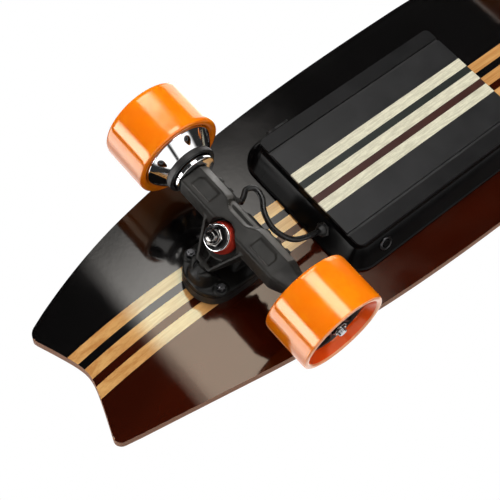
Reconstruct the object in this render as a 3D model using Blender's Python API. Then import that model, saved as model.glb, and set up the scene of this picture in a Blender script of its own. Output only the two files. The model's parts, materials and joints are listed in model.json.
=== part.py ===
"""Electric skateboard: deck, enclosure, two trucks, one hub-motor wheel and three rolling wheels.

The board stands on its wheels on z = 0, with +X to the nose and +Y to the rider's left.
"""
import math

import bmesh
import bpy
from mathutils import Matrix, Vector

MM = 0.001
GAP = 0.3 * MM

# Driving dimensions of the board.
WHEEL_RADIUS = 41.5 * MM
WHEEL_WIDTH = 49.6 * MM
WHEEL_INNER_Y = 79.6 * MM
AXLE_DROP = 70.1 * MM
UNDERSIDE_Z = WHEEL_RADIUS + AXLE_DROP
DECK_THICKNESS = 11.0 * MM
TAPE_THICKNESS = 1.0 * MM
BOARD_LENGTH = 796.0 * MM
BOARD_HALF_WIDTH = 120.0 * MM
WIDEST_X = 80.0 * MM
REAR_AXLE_X = -221.5 * MM
FRONT_AXLE_X = 273.5 * MM

# Tail: two rounded points with a notch between them, and the upturned ends.
TAIL_HALF_WIDTH = 64.0 * MM
TAIL_TAPER_POWER = 2.67
TAIL_POINT_Y = 57.0 * MM
TAIL_POINT_RADIUS = 9.0 * MM
NOTCH_DEPTH = 17.0 * MM
NOTCH_ROUNDING = 14.0 * MM
TAIL_KICK_X = -271.5 * MM
TAIL_KICK_RADIUS = 324.0 * MM
NOSE_KICK_X = 326.0 * MM
NOSE_KICK_RADIUS = 260.0 * MM
TAIL_SLICE = 14.3 * MM
NOSE_SLICE = 16.5 * MM

# Enclosure: a sloped housing with a flat lid, its centre a little behind the middle of the board.
BOX_X = -32.5 * MM
LID_HALF_LENGTH = 106.85 * MM
LID_HALF_WIDTH = 68.2 * MM
LID_DROP = 31.4 * MM
LID_THICKNESS = 3.1 * MM
LID_CORNER = 7.0 * MM
LID_BEVEL = 0.8 * MM
GROOVE_Y = 52.6 * MM
GROOVE_WIDTH = 3.0 * MM
GROOVE_DEPTH = 1.9 * MM
WALL_SPREAD = 11.5 * MM
FLANGE_WIDTH = 1.5 * MM
WALL = 3.0 * MM
FLANGE_DROP = 2.6 * MM
GASKET_DROP = 1.0 * MM
BUTTON_X = -111.0 * MM
GLAND_Y = 30.0 * MM
SOCKET_HINGE_X = 12.5 * MM
BATTERY_BOX = ((-98, -54, -22), (66, 54, -3))
CONTROLLER_BOX = ((-133, -50, -12), (-103, 50, -4))

# Truck: drops are distances below the deck, and x runs from the axle towards the board's middle.
# Sizes without a unit here and in the profiles below are in mm.
RISER_DROP = 12.0 * MM
PLATE_DROP = 19.0 * MM
BASE_HALF_WIDTH = 27.0 * MM
BASE_OUTER_X = -51.0 * MM
BASE_INNER_X = 34.0 * MM
BOLT_X = (-34.0 * MM, 20.0 * MM)
BOLT_Y = 20.64 * MM
STEER_ANGLE = math.radians(38)
RING_X = -12.0 * MM
RING_DROP = 55.0 * MM
RING_HALF_HEIGHT = 6.0 * MM
KINGPIN_RADIUS = 5.0 * MM
BUSHING_HEIGHT = 13.4 * MM
BUSHING_RADIUS = 14.2 * MM
MOTOR_ARM_END_Y = 57.2 * MM
PLAIN_ARM_END_Y = 76.0 * MM
ARM_TAPER_Y = 57.5 * MM
ARM_TAPER = 0.6
SPINDLE_END = 88.5
AXLE_RADIUS = 4.0 * MM
AXLE_REACH = 128.0 * MM
RECESS_DEPTH = 9.5 * MM
MOTOR_WINDOWS = 6
WINDOW_START = 0.62
MOTOR_NUT_Y = 121.3
ROLLING_NUT_Y = 119.0
CABLE_RADIUS = 2.6 * MM
# The lead's places: how far out of the gland, then (x from the rear axle, y, drop below the deck).
CABLE_START = (8.3, 14)
CABLE_LOOP = ((46, 28, 28), (35, 22, 36), (28.5, 11.5, 45), (30, -1.5, 51), (36, -12, 55),
              (36.5, -22, 57), (29, -25, 59), (22, -20.5, 60), (15.8, -17, 61))
MOTOR_WHEEL = "rear_right"

# Round pieces by how finely they are turned.
FINE = 32
MEDIUM = 16
COARSE = 10

FINISHES = {
    "lacquer": ((0.022, 0.004, 0.002), 0.12, 0.0),
    "grip": ((0.02, 0.02, 0.02), 0.95, 0.0),
    "charcoal": ((0.065, 0.065, 0.068), 0.5, 0.0),
    "black_plastic": ((0.012, 0.012, 0.013), 0.4, 0.0),
    "rubber": ((0.015, 0.015, 0.015), 0.7, 0.0),
    "cast_metal": ((0.055, 0.055, 0.055), 0.5, 0.6),
    "tyre": ((0.95, 0.2, 0.01), 0.18, 0.0),
    "bushing": ((0.45, 0.03, 0.015), 0.35, 0.0),
    "chrome": ((0.8, 0.8, 0.8), 0.12, 1.0),
    "steel": ((0.25, 0.25, 0.26), 0.35, 1.0),
    "battery": ((0.03, 0.09, 0.25), 0.5, 0.0),
    "circuit": ((0.02, 0.12, 0.04), 0.5, 0.0),
    "copper": ((0.45, 0.16, 0.06), 0.4, 1.0),
}


def finish(name):
    """The Principled material of a finish, made the first time it is asked for."""
    material = bpy.data.materials.get(name)
    if material:
        return material
    colour, roughness, metallic = FINISHES[name]
    material = bpy.data.materials.new(name)
    material.use_nodes = True
    shader = material.node_tree.nodes["Principled BSDF"]
    shader.inputs["Base Color"].default_value = (*colour, 1.0)
    shader.inputs["Roughness"].default_value = roughness
    shader.inputs["Metallic"].default_value = metallic
    material.diffuse_color = (*colour, 1.0)
    return material


def empty(name, location, turn=0.0, parent=None):
    """An empty that parts hang from."""
    guide = bpy.data.objects.new(name, None)
    guide.location = location
    guide.rotation_euler = (0.0, 0.0, turn)
    guide.parent = parent
    bpy.context.collection.objects.link(guide)
    return guide


def part(name, shape, look, origin=(0, 0, 0), parent=None, crease=32):
    """A named object whose mesh is given relative to origin, shaded smooth below the crease angle."""
    bmesh.ops.recalc_face_normals(shape, faces=shape.faces)
    mesh = bpy.data.meshes.new(name)
    shape.to_mesh(mesh)
    shape.free()
    mesh.materials.append(finish(look))
    mesh.shade_smooth()
    mesh.set_sharp_from_angle(angle=math.radians(crease))
    piece = bpy.data.objects.new(name, mesh)
    piece.location = origin
    piece.parent = parent
    bpy.context.collection.objects.link(piece)
    return piece


def cutter(name, shape, origin=(0, 0, 0), parent=None):
    """A guide object that a Boolean subtracts or adds, never a part itself."""
    tool = part(name, shape, "steel", origin, parent)
    tool.hide_render = True
    tool.display_type = "WIRE"
    return tool


def combine(piece, tool, operation="DIFFERENCE"):
    """Subtract the tool from the piece, or unite the two."""
    step = piece.modifiers.new(tool.name, "BOOLEAN")
    step.operation = operation
    step.object = tool
    step.solver = "EXACT"


def soften(piece, width, angle=40):
    """Bevel the edges that are sharper than an angle."""
    step = piece.modifiers.new("edges", "BEVEL")
    step.width = width
    step.segments = 1
    step.limit_method = "ANGLE"
    step.angle_limit = math.radians(angle)


def turned(profile, segments, frame=Matrix.Identity(4)):
    """Spin a closed profile of (radius, height) in mm about the frame's Z axis."""
    shape = bmesh.new()
    corners = [shape.verts.new((radius * MM, 0, height * MM)) for radius, height in profile]
    rim = [shape.edges.new((a, b)) for a, b in zip(corners, corners[1:] + corners[:1])]
    bmesh.ops.spin(shape, geom=corners + rim, cent=(0, 0, 0), axis=(0, 0, 1), angle=math.tau,
                   steps=segments, use_merge=True)
    bmesh.ops.remove_doubles(shape, verts=shape.verts, dist=1e-6)
    lonely = [edge for edge in shape.edges if not edge.link_faces]
    bmesh.ops.delete(shape, geom=lonely, context="EDGES")
    bmesh.ops.transform(shape, matrix=frame, verts=shape.verts)
    return shape


def rod(radius, low, high, segments, frame=Matrix.Identity(4)):
    """A plain cylinder along the frame's Z axis, in mm."""
    return turned([(0, low), (radius, low), (radius, high), (0, high)], segments, frame)


def loft(loops, closed=False):
    """Bridge loops of equal point counts, capped at both ends, or joined last to first if closed."""
    shape = bmesh.new()
    rings = [[shape.verts.new(point) for point in loop] for loop in loops]
    pairs = list(zip(rings, rings[1:]))
    if closed:
        pairs.append((rings[-1], rings[0]))
    for lower, upper in pairs:
        for i, vert in enumerate(lower):
            j = (i + 1) % len(lower)
            shape.faces.new((vert, lower[j], upper[j], upper[i]))
    if not closed:
        shape.faces.new(rings[0])
        shape.faces.new(rings[-1])
    return shape


def prism(outline, low, high):
    """An outline of (x, y) raised from z low to z high, in metres."""
    return loft([[(x, y, z) for x, y in outline] for z in (low, high)])


def block(low, high):
    """A box between two corners, in mm."""
    (x0, y0, z0), (x1, y1, z1) = [[value * MM for value in corner] for corner in (low, high)]
    return prism([(x0, y0), (x1, y0), (x1, y1), (x0, y1)], z0, z1)


def hull(points):
    """The convex body around points given in mm."""
    shape = bmesh.new()
    verts = [shape.verts.new(Vector(point) * MM) for point in points]
    result = bmesh.ops.convex_hull(shape, input=verts)
    spare = [item for item in result["geom_interior"] if isinstance(item, bmesh.types.BMVert)]
    bmesh.ops.delete(shape, geom=spare, context="VERTS")
    return shape


def rounded_rectangle(centre_x, half_x, half_y, radius, steps=5):
    """The (x, y) points of a rectangle with round corners, anticlockwise."""
    points = []
    for quarter in range(4):
        along = 1 if quarter in (0, 3) else -1
        across = 1 if quarter < 2 else -1
        middle_x = centre_x + along * (half_x - radius)
        middle_y = across * (half_y - radius)
        for step in range(steps + 1):
            angle = (quarter + step / steps) * math.pi / 2
            points.append((middle_x + radius * math.cos(angle), middle_y + radius * math.sin(angle)))
    return points


# Deck ---------------------------------------------------------------------------------------

def half_width(x):
    """Half the deck's width: a slow taper to the tail and an ellipse to the nose."""
    if x > WIDEST_X:
        reach = (x - WIDEST_X) / (BOARD_LENGTH / 2 - WIDEST_X)
        return BOARD_HALF_WIDTH * math.sqrt(max(0.0, 1 - reach ** 2))
    reach = (WIDEST_X - x) / (WIDEST_X + BOARD_LENGTH / 2)
    return BOARD_HALF_WIDTH - (BOARD_HALF_WIDTH - TAIL_HALF_WIDTH) * reach ** TAIL_TAPER_POWER


def notch_x(y):
    """How far back the tail's edge lies at y: a rounded V."""
    reach = math.hypot(y, NOTCH_ROUNDING) - NOTCH_ROUNDING
    full = math.hypot(TAIL_POINT_Y, NOTCH_ROUNDING) - NOTCH_ROUNDING
    return -BOARD_LENGTH / 2 + NOTCH_DEPTH * (1 - reach / full)


def kick(x):
    """How far the deck has turned up at x."""
    tail = max(0.0, TAIL_KICK_X - x)
    nose = max(0.0, x - NOSE_KICK_X)
    rise = TAIL_KICK_RADIUS - math.sqrt(TAIL_KICK_RADIUS ** 2 - tail ** 2)
    return rise + NOSE_KICK_RADIUS - math.sqrt(NOSE_KICK_RADIUS ** 2 - nose ** 2)


def deck_outline(inset):
    """The deck's outline, anticlockwise from the middle of the tail's notch, drawn in by inset."""
    side = [(notch_x(y), -y) for y in [TAIL_POINT_Y * i / 7 for i in range(7)]]
    radius = TAIL_POINT_RADIUS
    centre = Vector((-BOARD_LENGTH / 2 + radius, -TAIL_POINT_Y))
    for degrees in (180, 215, 250):
        angle = math.radians(degrees)
        side.append((centre.x + radius * math.cos(angle), centre.y + radius * math.sin(angle)))
    start_x = -BOARD_LENGTH / 2 + 2.2 * radius
    for i in range(10):
        x = start_x + (WIDEST_X - start_x) * i / 10
        side.append((x, -half_width(x)))
    for i in range(14):
        angle = math.pi / 2 * i / 14
        side.append((WIDEST_X + (BOARD_LENGTH / 2 - WIDEST_X) * math.sin(angle),
                     -BOARD_HALF_WIDTH * math.cos(angle)))
    tip = [(BOARD_LENGTH / 2, 0.0)]
    points = side + tip + [(x, -y) for x, y in reversed(side[1:])]
    inner = []
    for i, point in enumerate(points):
        before = Vector(points[i - 1])
        after = Vector(points[(i + 1) % len(points)])
        along = (after - before).normalized()
        inner.append((point[0] - along.y * inset, point[1] + along.x * inset))
    return inner


def bent_board(low, high, inset):
    """A board between two heights above the deck's underside, sliced across and turned up at its ends."""
    shape = prism(deck_outline(inset), low, high)
    slices = [TAIL_KICK_X - step * TAIL_SLICE for step in range(8)]
    slices += [NOSE_KICK_X + step * NOSE_SLICE for step in range(5)]
    for x in slices:
        bmesh.ops.bisect_plane(shape, geom=shape.verts[:] + shape.edges[:] + shape.faces[:],
                               plane_co=(x, 0, 0), plane_no=(1, 0, 0))
    for vert in shape.verts:
        vert.co.z += UNDERSIDE_Z + kick(vert.co.x)
    bmesh.ops.triangulate(shape, faces=shape.faces, ngon_method="EAR_CLIP")
    return shape


def bolt_places():
    """Each mounting bolt's truck name, number and place on the board."""
    for end, axle_x, inward in (("rear", REAR_AXLE_X, 1), ("front", FRONT_AXLE_X, -1)):
        number = 0
        for bolt_x in BOLT_X:
            for bolt_y in (-BOLT_Y, BOLT_Y):
                number += 1
                yield end, number, (axle_x + inward * bolt_x, bolt_y)


def drill(piece, name, radius, low, high):
    """Cut the eight mounting-bolt holes in a board between two heights, in mm."""
    for end, number, (x, y) in bolt_places():
        hole = cutter(f"{name}_{end}_{number}", rod(radius, low, high, COARSE), (x, y, UNDERSIDE_Z))
        combine(piece, hole)


def build_deck():
    """The deck and the grip tape above it, both drilled for the trucks' bolts."""
    deck = part("deck", bent_board(0, DECK_THICKNESS, 0), "lacquer")
    drill(deck, "deck_hole", 2.8, -5, 20)
    tape_low = DECK_THICKNESS + GAP
    tape = part("grip_tape", bent_board(tape_low, tape_low + TAPE_THICKNESS, 2 * MM), "grip")
    drill(tape, "tape_hole", 5.4, 5, 25)


# Enclosure ----------------------------------------------------------------------------------

def box_loop(drop, half_x, half_y, radius):
    """A rounded rectangle about the enclosure's centre, at a drop below the deck."""
    outline = rounded_rectangle(BOX_X, half_x, half_y, radius)
    return [(x, y, UNDERSIDE_Z - drop) for x, y in outline]


def wall_frame(side_y, x, depth_fraction):
    """A frame on a side wall: origin on its outer face, Z pointing out of the wall."""
    top_drop = LID_DROP - LID_THICKNESS - GAP
    drop = FLANGE_DROP + (top_drop - FLANGE_DROP) * depth_fraction
    y = LID_HALF_WIDTH + WALL_SPREAD * (1 - depth_fraction)
    slope = math.atan2(WALL_SPREAD, top_drop - FLANGE_DROP)
    out = Vector((0, side_y * math.cos(slope), -math.sin(slope)))
    along = Vector((1, 0, 0))
    across = out.cross(along)
    frame = Matrix((along, across, out)).transposed().to_4x4()
    frame.translation = (x, side_y * y, UNDERSIDE_Z - drop)
    return frame


def end_frame(y, depth_fraction):
    """The same on the wall that faces the tail."""
    top_drop = LID_DROP - LID_THICKNESS - GAP
    drop = FLANGE_DROP + (top_drop - FLANGE_DROP) * depth_fraction
    x = BOX_X - LID_HALF_LENGTH - WALL_SPREAD * (1 - depth_fraction)
    slope = math.atan2(WALL_SPREAD, top_drop - FLANGE_DROP)
    out = Vector((-math.cos(slope), 0, -math.sin(slope)))
    along = Vector((0, 1, 0))
    across = out.cross(along)
    frame = Matrix((along, across, out)).transposed().to_4x4()
    frame.translation = (x, y, UNDERSIDE_Z - drop)
    return frame


BUTTON_FRAME = wall_frame(1, BUTTON_X, 0.5)
SOCKET_FRAME = wall_frame(-1, BUTTON_X, 0.5)
GLAND_FRAME = end_frame(GLAND_Y, 0.5)


def build_housing():
    """The housing's sloped walls, its grooved lid and the gasket under its flange."""
    top = LID_DROP - LID_THICKNESS - GAP
    length, width = LID_HALF_LENGTH, LID_HALF_WIDTH
    spread = WALL_SPREAD
    rim = spread + FLANGE_WIDTH
    loops = [
        box_loop(GASKET_DROP + GAP, length + rim, width + rim, 25 * MM),
        box_loop(FLANGE_DROP, length + rim, width + rim, 25 * MM),
        box_loop(FLANGE_DROP, length + spread, width + spread, 23 * MM),
        box_loop(top, length, width, 8 * MM),
        box_loop(top, length - 11 * MM, width - 10 * MM, 6 * MM),
        box_loop(top - WALL, length - 11 * MM, width - 10 * MM, 6 * MM),
        box_loop(top - WALL, length - WALL, width - WALL, 6 * MM),
        box_loop(GASKET_DROP + GAP, length + spread - WALL, width + spread - WALL, 20 * MM),
    ]
    housing = part("enclosure_housing", loft(loops, closed=True), "black_plastic")
    combine(housing, cutter("button_hole", rod(4.9, -12, 6, COARSE, BUTTON_FRAME)))
    combine(housing, cutter("socket_hole", rod(8.4, -12, 6, MEDIUM, SOCKET_FRAME)))
    combine(housing, cutter("gland_hole", rod(5, -12, 6, MEDIUM, GLAND_FRAME)))

    lid_low = LID_DROP - LID_THICKNESS
    lid = part("enclosure_lid", loft([
        box_loop(lid_low, length, width, LID_CORNER),
        box_loop(LID_DROP - LID_BEVEL, length, width, LID_CORNER),
        box_loop(LID_DROP, length - LID_BEVEL, width - LID_BEVEL, LID_CORNER - LID_BEVEL),
    ]), "charcoal")
    for side in (-1, 1):
        low_y = (side * GROOVE_Y - GROOVE_WIDTH / 2) / MM
        high_y = (side * GROOVE_Y + GROOVE_WIDTH / 2) / MM
        low = ((BOX_X - length) / MM - 5, low_y, -LID_DROP / MM - 5)
        high = ((BOX_X + length) / MM + 5, high_y, (GROOVE_DEPTH - LID_DROP) / MM)
        combine(lid, cutter(f"groove_{side + 1}", block(low, high), (0, 0, UNDERSIDE_Z)))

    gasket_outer = rim - 0.5 * MM
    gasket_inner = spread - 4 * MM
    part("enclosure_gasket", loft([
        box_loop(GAP, length + gasket_outer, width + gasket_outer, 24 * MM),
        box_loop(GASKET_DROP, length + gasket_outer, width + gasket_outer, 24 * MM),
        box_loop(GASKET_DROP, length + gasket_inner, width + gasket_inner, 19 * MM),
        box_loop(GAP, length + gasket_inner, width + gasket_inner, 19 * MM),
    ], closed=True), "rubber")


def build_electronics():
    """The battery and the controller, as plain blocks inside the housing."""
    battery = part("battery_pack", block(*BATTERY_BOX), "battery", (0, 0, UNDERSIDE_Z))
    soften(battery, 3 * MM)
    board = part("controller_board", block(*CONTROLLER_BOX), "circuit", (0, 0, UNDERSIDE_Z))
    soften(board, 1 * MM)


def build_fittings():
    """The power button, the charging socket with its flap, and the motor lead's gland."""
    bezel = [(4.6, 0.3), (6.8, 0.3), (6.8, 1.2), (6.2, 1.9), (5.2, 1.9), (4.6, 1.4)]
    part("button_bezel", turned(bezel, MEDIUM, BUTTON_FRAME), "chrome")
    origin = BUTTON_FRAME.translation
    local = BUTTON_FRAME.copy()
    local.translation = (0, 0, 0)
    button = [(0, -6), (4.2, -6), (4.2, 1.9), (3.7, 2.4), (0, 2.4)]
    part("power_button", turned(button, MEDIUM, local), "black_plastic", origin)

    socket = [(0, -9.5), (8, -9.5), (8, 0.3), (10, 0.3), (10, 1.8), (6.5, 1.8), (6.5, -7.5), (0, -7.5)]
    part("charge_socket", turned(socket, MEDIUM, SOCKET_FRAME), "black_plastic")
    hinge = SOCKET_FRAME @ Vector((SOCKET_HINGE_X, 0, 2.9 * MM))
    turn = SOCKET_FRAME.copy()
    turn.translation = (0, 0, 0)
    flap = prism(rounded_rectangle(-9.75 * MM, 11.75 * MM, 9 * MM, 8.5 * MM, 5), -0.8 * MM, 1.2 * MM)
    bmesh.ops.transform(flap, matrix=turn, verts=flap.verts)
    part("charge_cap", flap, "rubber", hinge)

    gland = [(0, -5), (4.5, -5), (4.5, 0.3), (7.5, 0.3), (7.5, 2), (5, 4), (4, 8), (0, 8)]
    part("cable_gland", turned(gland, MEDIUM, GLAND_FRAME), "rubber")


# Trucks -------------------------------------------------------------------------------------

def kingpin_frame():
    """In a truck: Z along the kingpin away from the deck, X along the steering axis."""
    lean = STEER_ANGLE
    along = Vector((math.cos(lean), 0, -math.sin(lean)))
    down = Vector((-math.sin(lean), 0, -math.cos(lean)))
    frame = Matrix((along, down.cross(along), down)).transposed().to_4x4()
    frame.translation = (RING_X, 0, -RING_DROP)
    return frame


KINGPIN = kingpin_frame()
RING_CENTRE = Vector((RING_X, 0, -RING_DROP))
AXLE_POINT = Vector((0, 0, -AXLE_DROP))


def steering_frame():
    """In a truck: Z along the steering axis towards the pivot, from the ring's centre."""
    out = KINGPIN.to_3x3() @ Vector((-1, 0, 0))
    up = KINGPIN.to_3x3() @ Vector((0, 0, 1))
    frame = Matrix((up, out.cross(up), out)).transposed().to_4x4()
    frame.translation = RING_CENTRE
    return frame


STEERING = steering_frame()


def from_ring(frame):
    """A truck frame taken relative to the ring's centre, where the hanger's origin is."""
    return Matrix.Translation(-RING_CENTRE) @ frame


def along_axle(side):
    """A frame whose Z runs outwards along the axle."""
    return Matrix.Rotation(-side * math.pi / 2, 4, "X")


def base_outline(grow):
    """The baseplate's outline: a broad round outer end and a squarer inner end."""
    points = []
    outer_radius = 25 * MM + grow
    inner_radius = 8 * MM + grow
    corners = [(BASE_INNER_X - 8 * MM, BASE_HALF_WIDTH - 8 * MM, inner_radius, 0),
               (BASE_OUTER_X + 25 * MM, BASE_HALF_WIDTH - 25 * MM, outer_radius, 90),
               (BASE_OUTER_X + 25 * MM, -(BASE_HALF_WIDTH - 25 * MM), outer_radius, 180),
               (BASE_INNER_X - 8 * MM, -(BASE_HALF_WIDTH - 8 * MM), inner_radius, 270)]
    for x, y, radius, start in corners:
        for step in range(6):
            angle = math.radians(start + 18 * step)
            points.append((x + radius * math.cos(angle), y + radius * math.sin(angle)))
    return points


def drill_base(piece, end, truck):
    """Cut a truck's four bolt holes."""
    for bolt_x in BOLT_X:
        for bolt_y in (-BOLT_Y, BOLT_Y):
            name = f"{piece.name}_hole_{int(bolt_x / MM)}_{int(bolt_y / MM)}"
            hole = cutter(name, rod(2.8, -40, 10, COARSE), (bolt_x, bolt_y, 0), truck)
            combine(piece, hole)


def build_base(end, truck):
    """The riser pad, and the baseplate with its kingpin seat and pivot barrel and the cup in it."""
    riser = part(f"{end}_riser", prism(base_outline(0), -RISER_DROP, -GAP), "rubber", parent=truck)
    drill_base(riser, end, truck)

    plate = part(f"{end}_baseplate", prism(base_outline(0), -PLATE_DROP, -RISER_DROP - GAP),
                 "cast_metal", parent=truck)
    foot = [(-16, 15), (8, 15), (25, 8), (25, -8), (8, -15), (-16, -15)]
    seat = []
    for step in range(16):
        angle = math.tau * step / 16
        edge = Vector((15.5 * math.cos(angle), 15.5 * math.sin(angle), -20))
        seat.append(KINGPIN @ (edge * MM))
    tower = hull([(x, y, -17) for x, y in foot] + [point / MM for point in seat])
    combine(plate, cutter(f"{end}_tower", tower, parent=truck), "UNION")
    block_points = []
    for step in range(9):
        angle = math.radians(90 + 22.5 * step)
        block_points.append((-36 + 14.5 * math.cos(angle), 14.5 * math.sin(angle), -17))
        block_points.append((-38 + 9 * math.cos(angle), 12 * math.sin(angle), -37))
    block_points += [(-26, 12, -17), (-26, -12, -17)]
    combine(plate, cutter(f"{end}_pivot_block", hull(block_points), parent=truck), "UNION")
    combine(plate, cutter(f"{end}_kingpin_hole", rod(5.3, -60, 5, COARSE, KINGPIN), parent=truck))
    combine(plate, cutter(f"{end}_kingpin_pocket", rod(8.6, -70, -37.7, COARSE, KINGPIN), parent=truck))
    combine(plate, cutter(f"{end}_pivot_pocket", rod(6.8, 10, 43.3, COARSE, STEERING), parent=truck))
    drill_base(plate, end, truck)

    cup = [(4.9, 33), (6.5, 33), (6.5, 43), (0, 43), (0, 41), (4.9, 41)]
    part(f"{end}_pivot_cup", turned(cup, COARSE, STEERING), "rubber", parent=truck)


def build_kingpin(end, truck):
    """The kingpin with its two bushings, cup washer and nut."""
    pin = [(0, -44), (8, -44), (8, -38), (5, -38), (5, 33), (4.2, 34), (0, 34)]
    part(f"{end}_kingpin", turned(pin, MEDIUM, KINGPIN), "steel", parent=truck)
    ring = RING_HALF_HEIGHT / MM + 0.3
    top = ring + BUSHING_HEIGHT / MM
    widest = BUSHING_RADIUS / MM
    outer = [(5.3, ring), (widest - 0.5, ring), (widest, ring + 3), (widest - 1.6, top - 1),
             (widest - 2.6, top), (5.3, top)]
    inner = [(radius, -height) for radius, height in outer]
    part(f"{end}_bushing_outer", turned(outer, MEDIUM, KINGPIN), "bushing", parent=truck)
    part(f"{end}_bushing_inner", turned(inner, MEDIUM, KINGPIN), "bushing", parent=truck)
    washer = [(5.3, top + 0.3), (11.6, top + 0.3), (11.9, top + 1.2), (11.6, top + 2.3),
              (10.6, top + 2.3), (10.2, top + 1.6), (5.3, top + 1.6)]
    part(f"{end}_cup_washer", turned(washer, MEDIUM, KINGPIN), "chrome", parent=truck)
    nut = [(6.2, top + 1.9), (8.2, top + 1.9), (8.2, top + 9), (7.4, top + 10), (6.2, top + 10)]
    part(f"{end}_kingpin_nut", turned(nut, 6, KINGPIN), "steel", parent=truck, crease=20)


def arm_section(y, waist, size):
    """The hanger's cross-section at y, its inner side drawn in by a waist, relative to the ring."""
    points = [(-17.5, 79.5), (2 - waist, 82), (10.5 - waist, 75.5), (13 - waist, 66), (11 - waist, 57.5),
              (-12, 56), (-18, 61)]
    axle = AXLE_DROP / MM
    section = [Vector((size * x, y, -axle - size * (drop - axle))) for x, drop in points]
    return [point * MM - RING_CENTRE for point in section]


def arm_stations(end):
    """(y, waist, size) of the hanger's sections: an arm is cut short where it carries a motor."""
    taper_y = ARM_TAPER_Y / MM
    plain = [(taper_y, 0, 1), (PLAIN_ARM_END_Y / MM, 0, ARM_TAPER)]
    right = [(MOTOR_ARM_END_Y / MM, 0, 1)] if end == "rear" else plain
    middle = [(-22, 0, 1), (-12, 6.5, 1), (12, 6.5, 1), (22, 0, 1)]
    return [(-y, waist, size) for y, waist, size in reversed(right)] + middle + plain


def build_hanger(end, truck):
    """The hanger: arms, ring, yoke and pivot pin in one casting, drilled for the axle."""
    body = loft([arm_section(*station) for station in arm_stations(end)])
    hanger = part(f"{end}_hanger", body, "cast_metal", RING_CENTRE, truck)
    local = from_ring(KINGPIN)

    ring = cutter(f"{end}_ring", rod(19.5, -7.5, 7.5, MEDIUM, local), RING_CENTRE, truck)
    combine(hanger, ring, "UNION")
    for side in (-1, 1):
        corners = [(8, 27), (8, 22.5), (-31, 8.8), (-31, 4.8)]
        tops = (15, 15, 3.5, 3.5)
        wall = []
        for (along, across), top in zip(corners, tops):
            for height in (-5.5, top):
                wall.append(local @ (Vector((along, side * across, height)) * MM) / MM)
        leg = cutter(f"{end}_yoke_{side + 1}", hull(wall), RING_CENTRE, truck)
        combine(hanger, leg, "UNION")
    apex = []
    for along, across in ((-31.2, 8.5), (-26, 8.5)):
        for side in (-1, 1):
            for height in (-5, 4):
                apex.append(local @ (Vector((along, side * across, height)) * MM) / MM)
    combine(hanger, cutter(f"{end}_apex", hull(apex), RING_CENTRE, truck), "UNION")
    pin = turned([(0, 28.3), (4.6, 28.3), (4.6, 37), (3.2, 39.6), (0, 40.2)], COARSE, from_ring(STEERING))
    combine(hanger, cutter(f"{end}_pivot_pin", pin, RING_CENTRE, truck), "UNION")
    start = -SPINDLE_END if end == "front" else -30
    spindle = [(0, start), (8, start), (9, start + 21), (9, 67), (8, SPINDLE_END), (0, SPINDLE_END)]
    askew = along_axle(1) @ Matrix.Rotation(math.radians(7), 4, "Z")
    combine(hanger, cutter(f"{end}_spindle", turned(spindle, 18, askew), AXLE_POINT, truck), "UNION")
    for name, low, high in (("above", 6, 40), ("below", -40, -6)):
        space = cutter(f"{end}_bushing_space_{name}", rod(16, low, high, 18, local), RING_CENTRE, truck)
        combine(hanger, space)
    combine(hanger, cutter(f"{end}_ring_bore", rod(8.5, -20, 20, MEDIUM, local), RING_CENTRE, truck))
    axle_bore = rod(AXLE_RADIUS / MM + 0.3, -100, 100, COARSE, along_axle(1))
    combine(hanger, cutter(f"{end}_axle_bore", axle_bore, AXLE_POINT, truck))


def build_axle(end, truck):
    """The axle's rod, through both wheels."""
    reach = AXLE_REACH / MM
    shaft = turned([(0, -reach), (3.4, -reach), (4, -reach + 1), (4, reach - 1), (3.4, reach), (0, reach)],
                   COARSE, along_axle(1))
    part(f"{end}_axle", shaft, "steel", AXLE_POINT, truck)


def build_bolts():
    """The trucks' bolts, each in one body with its nut."""
    for end, number, (x, y) in bolt_places():
        profile = [(0, -26.5), (2.4, -26.5), (2.4, -24.6), (4.4, -24.4), (4.4, -19.4), (2.4, -19.3),
                   (2.4, 11.3), (4.8, 11.4), (4.8, 12.2), (0, 12.2)]
        part(f"{end}_bolt_{number}", turned(profile, 8), "steel", (x, y, UNDERSIDE_Z))


# Wheels -------------------------------------------------------------------------------------

def build_tyre(name, side, centre, truck):
    """A tyre with round shoulders and, on its outer side, a deep tapering recess."""
    inner = WHEEL_INNER_Y / MM
    outer = inner + WHEEL_WIDTH / MM
    profile = [(31.6, inner + 6.5), (35, inner + 1), (38.2, inner), (40.7, inner + 0.9), (41.5, inner + 3.2),
               (41.5, outer - 3.2), (40.7, outer - 0.9), (38.8, outer), (36.6, outer - 0.6),
               (31.6, outer - RECESS_DEPTH / MM)]
    part(f"{name}_tyre", turned(profile, FINE, along_axle(side)), "tyre", centre, truck)


def build_motor(name, side, centre, truck):
    """A hub motor: a turning can with a windowed cone, round a stator fixed to the axle."""
    profile = [(21, 62), (23.6, 62), (23.6, 67.5), (33.6, 80), (33.6, 82.3), (31, 84.9), (31, 117),
               (28.5, 119.5), (9, 119.5), (9, 117), (28.3, 117), (28.3, 84.5), (30.2, 82), (30.2, 80.3),
               (21, 68.8)]
    can = part(f"{name}_motor_can", turned(profile, FINE, along_axle(side)), "chrome", centre, truck)
    on_cone = Matrix.Translation((29.6 * MM, 0, 75 * MM)) @ Matrix.Rotation(math.radians(128.7), 4, "Y")
    for number in range(MOTOR_WINDOWS):
        turn = Matrix.Rotation(math.tau * (number + WINDOW_START) / MOTOR_WINDOWS, 4, "Z")
        window = rod(3.6, -6, 6, COARSE, along_axle(side) @ turn @ on_cone)
        combine(can, cutter(f"{name}_window_{number}", window, centre, truck))
    stator = [(4.3, 57.5), (19.5, 57.5), (19.5, 70), (14, 72), (14, 86), (27.5, 86), (27.5, 113.5),
              (12, 113.5), (12, 116), (7.5, 116), (7.5, 121), (4.3, 121)]
    part(f"{name}_stator", turned(stator, 20, along_axle(side)), "copper", centre, truck)


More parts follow.
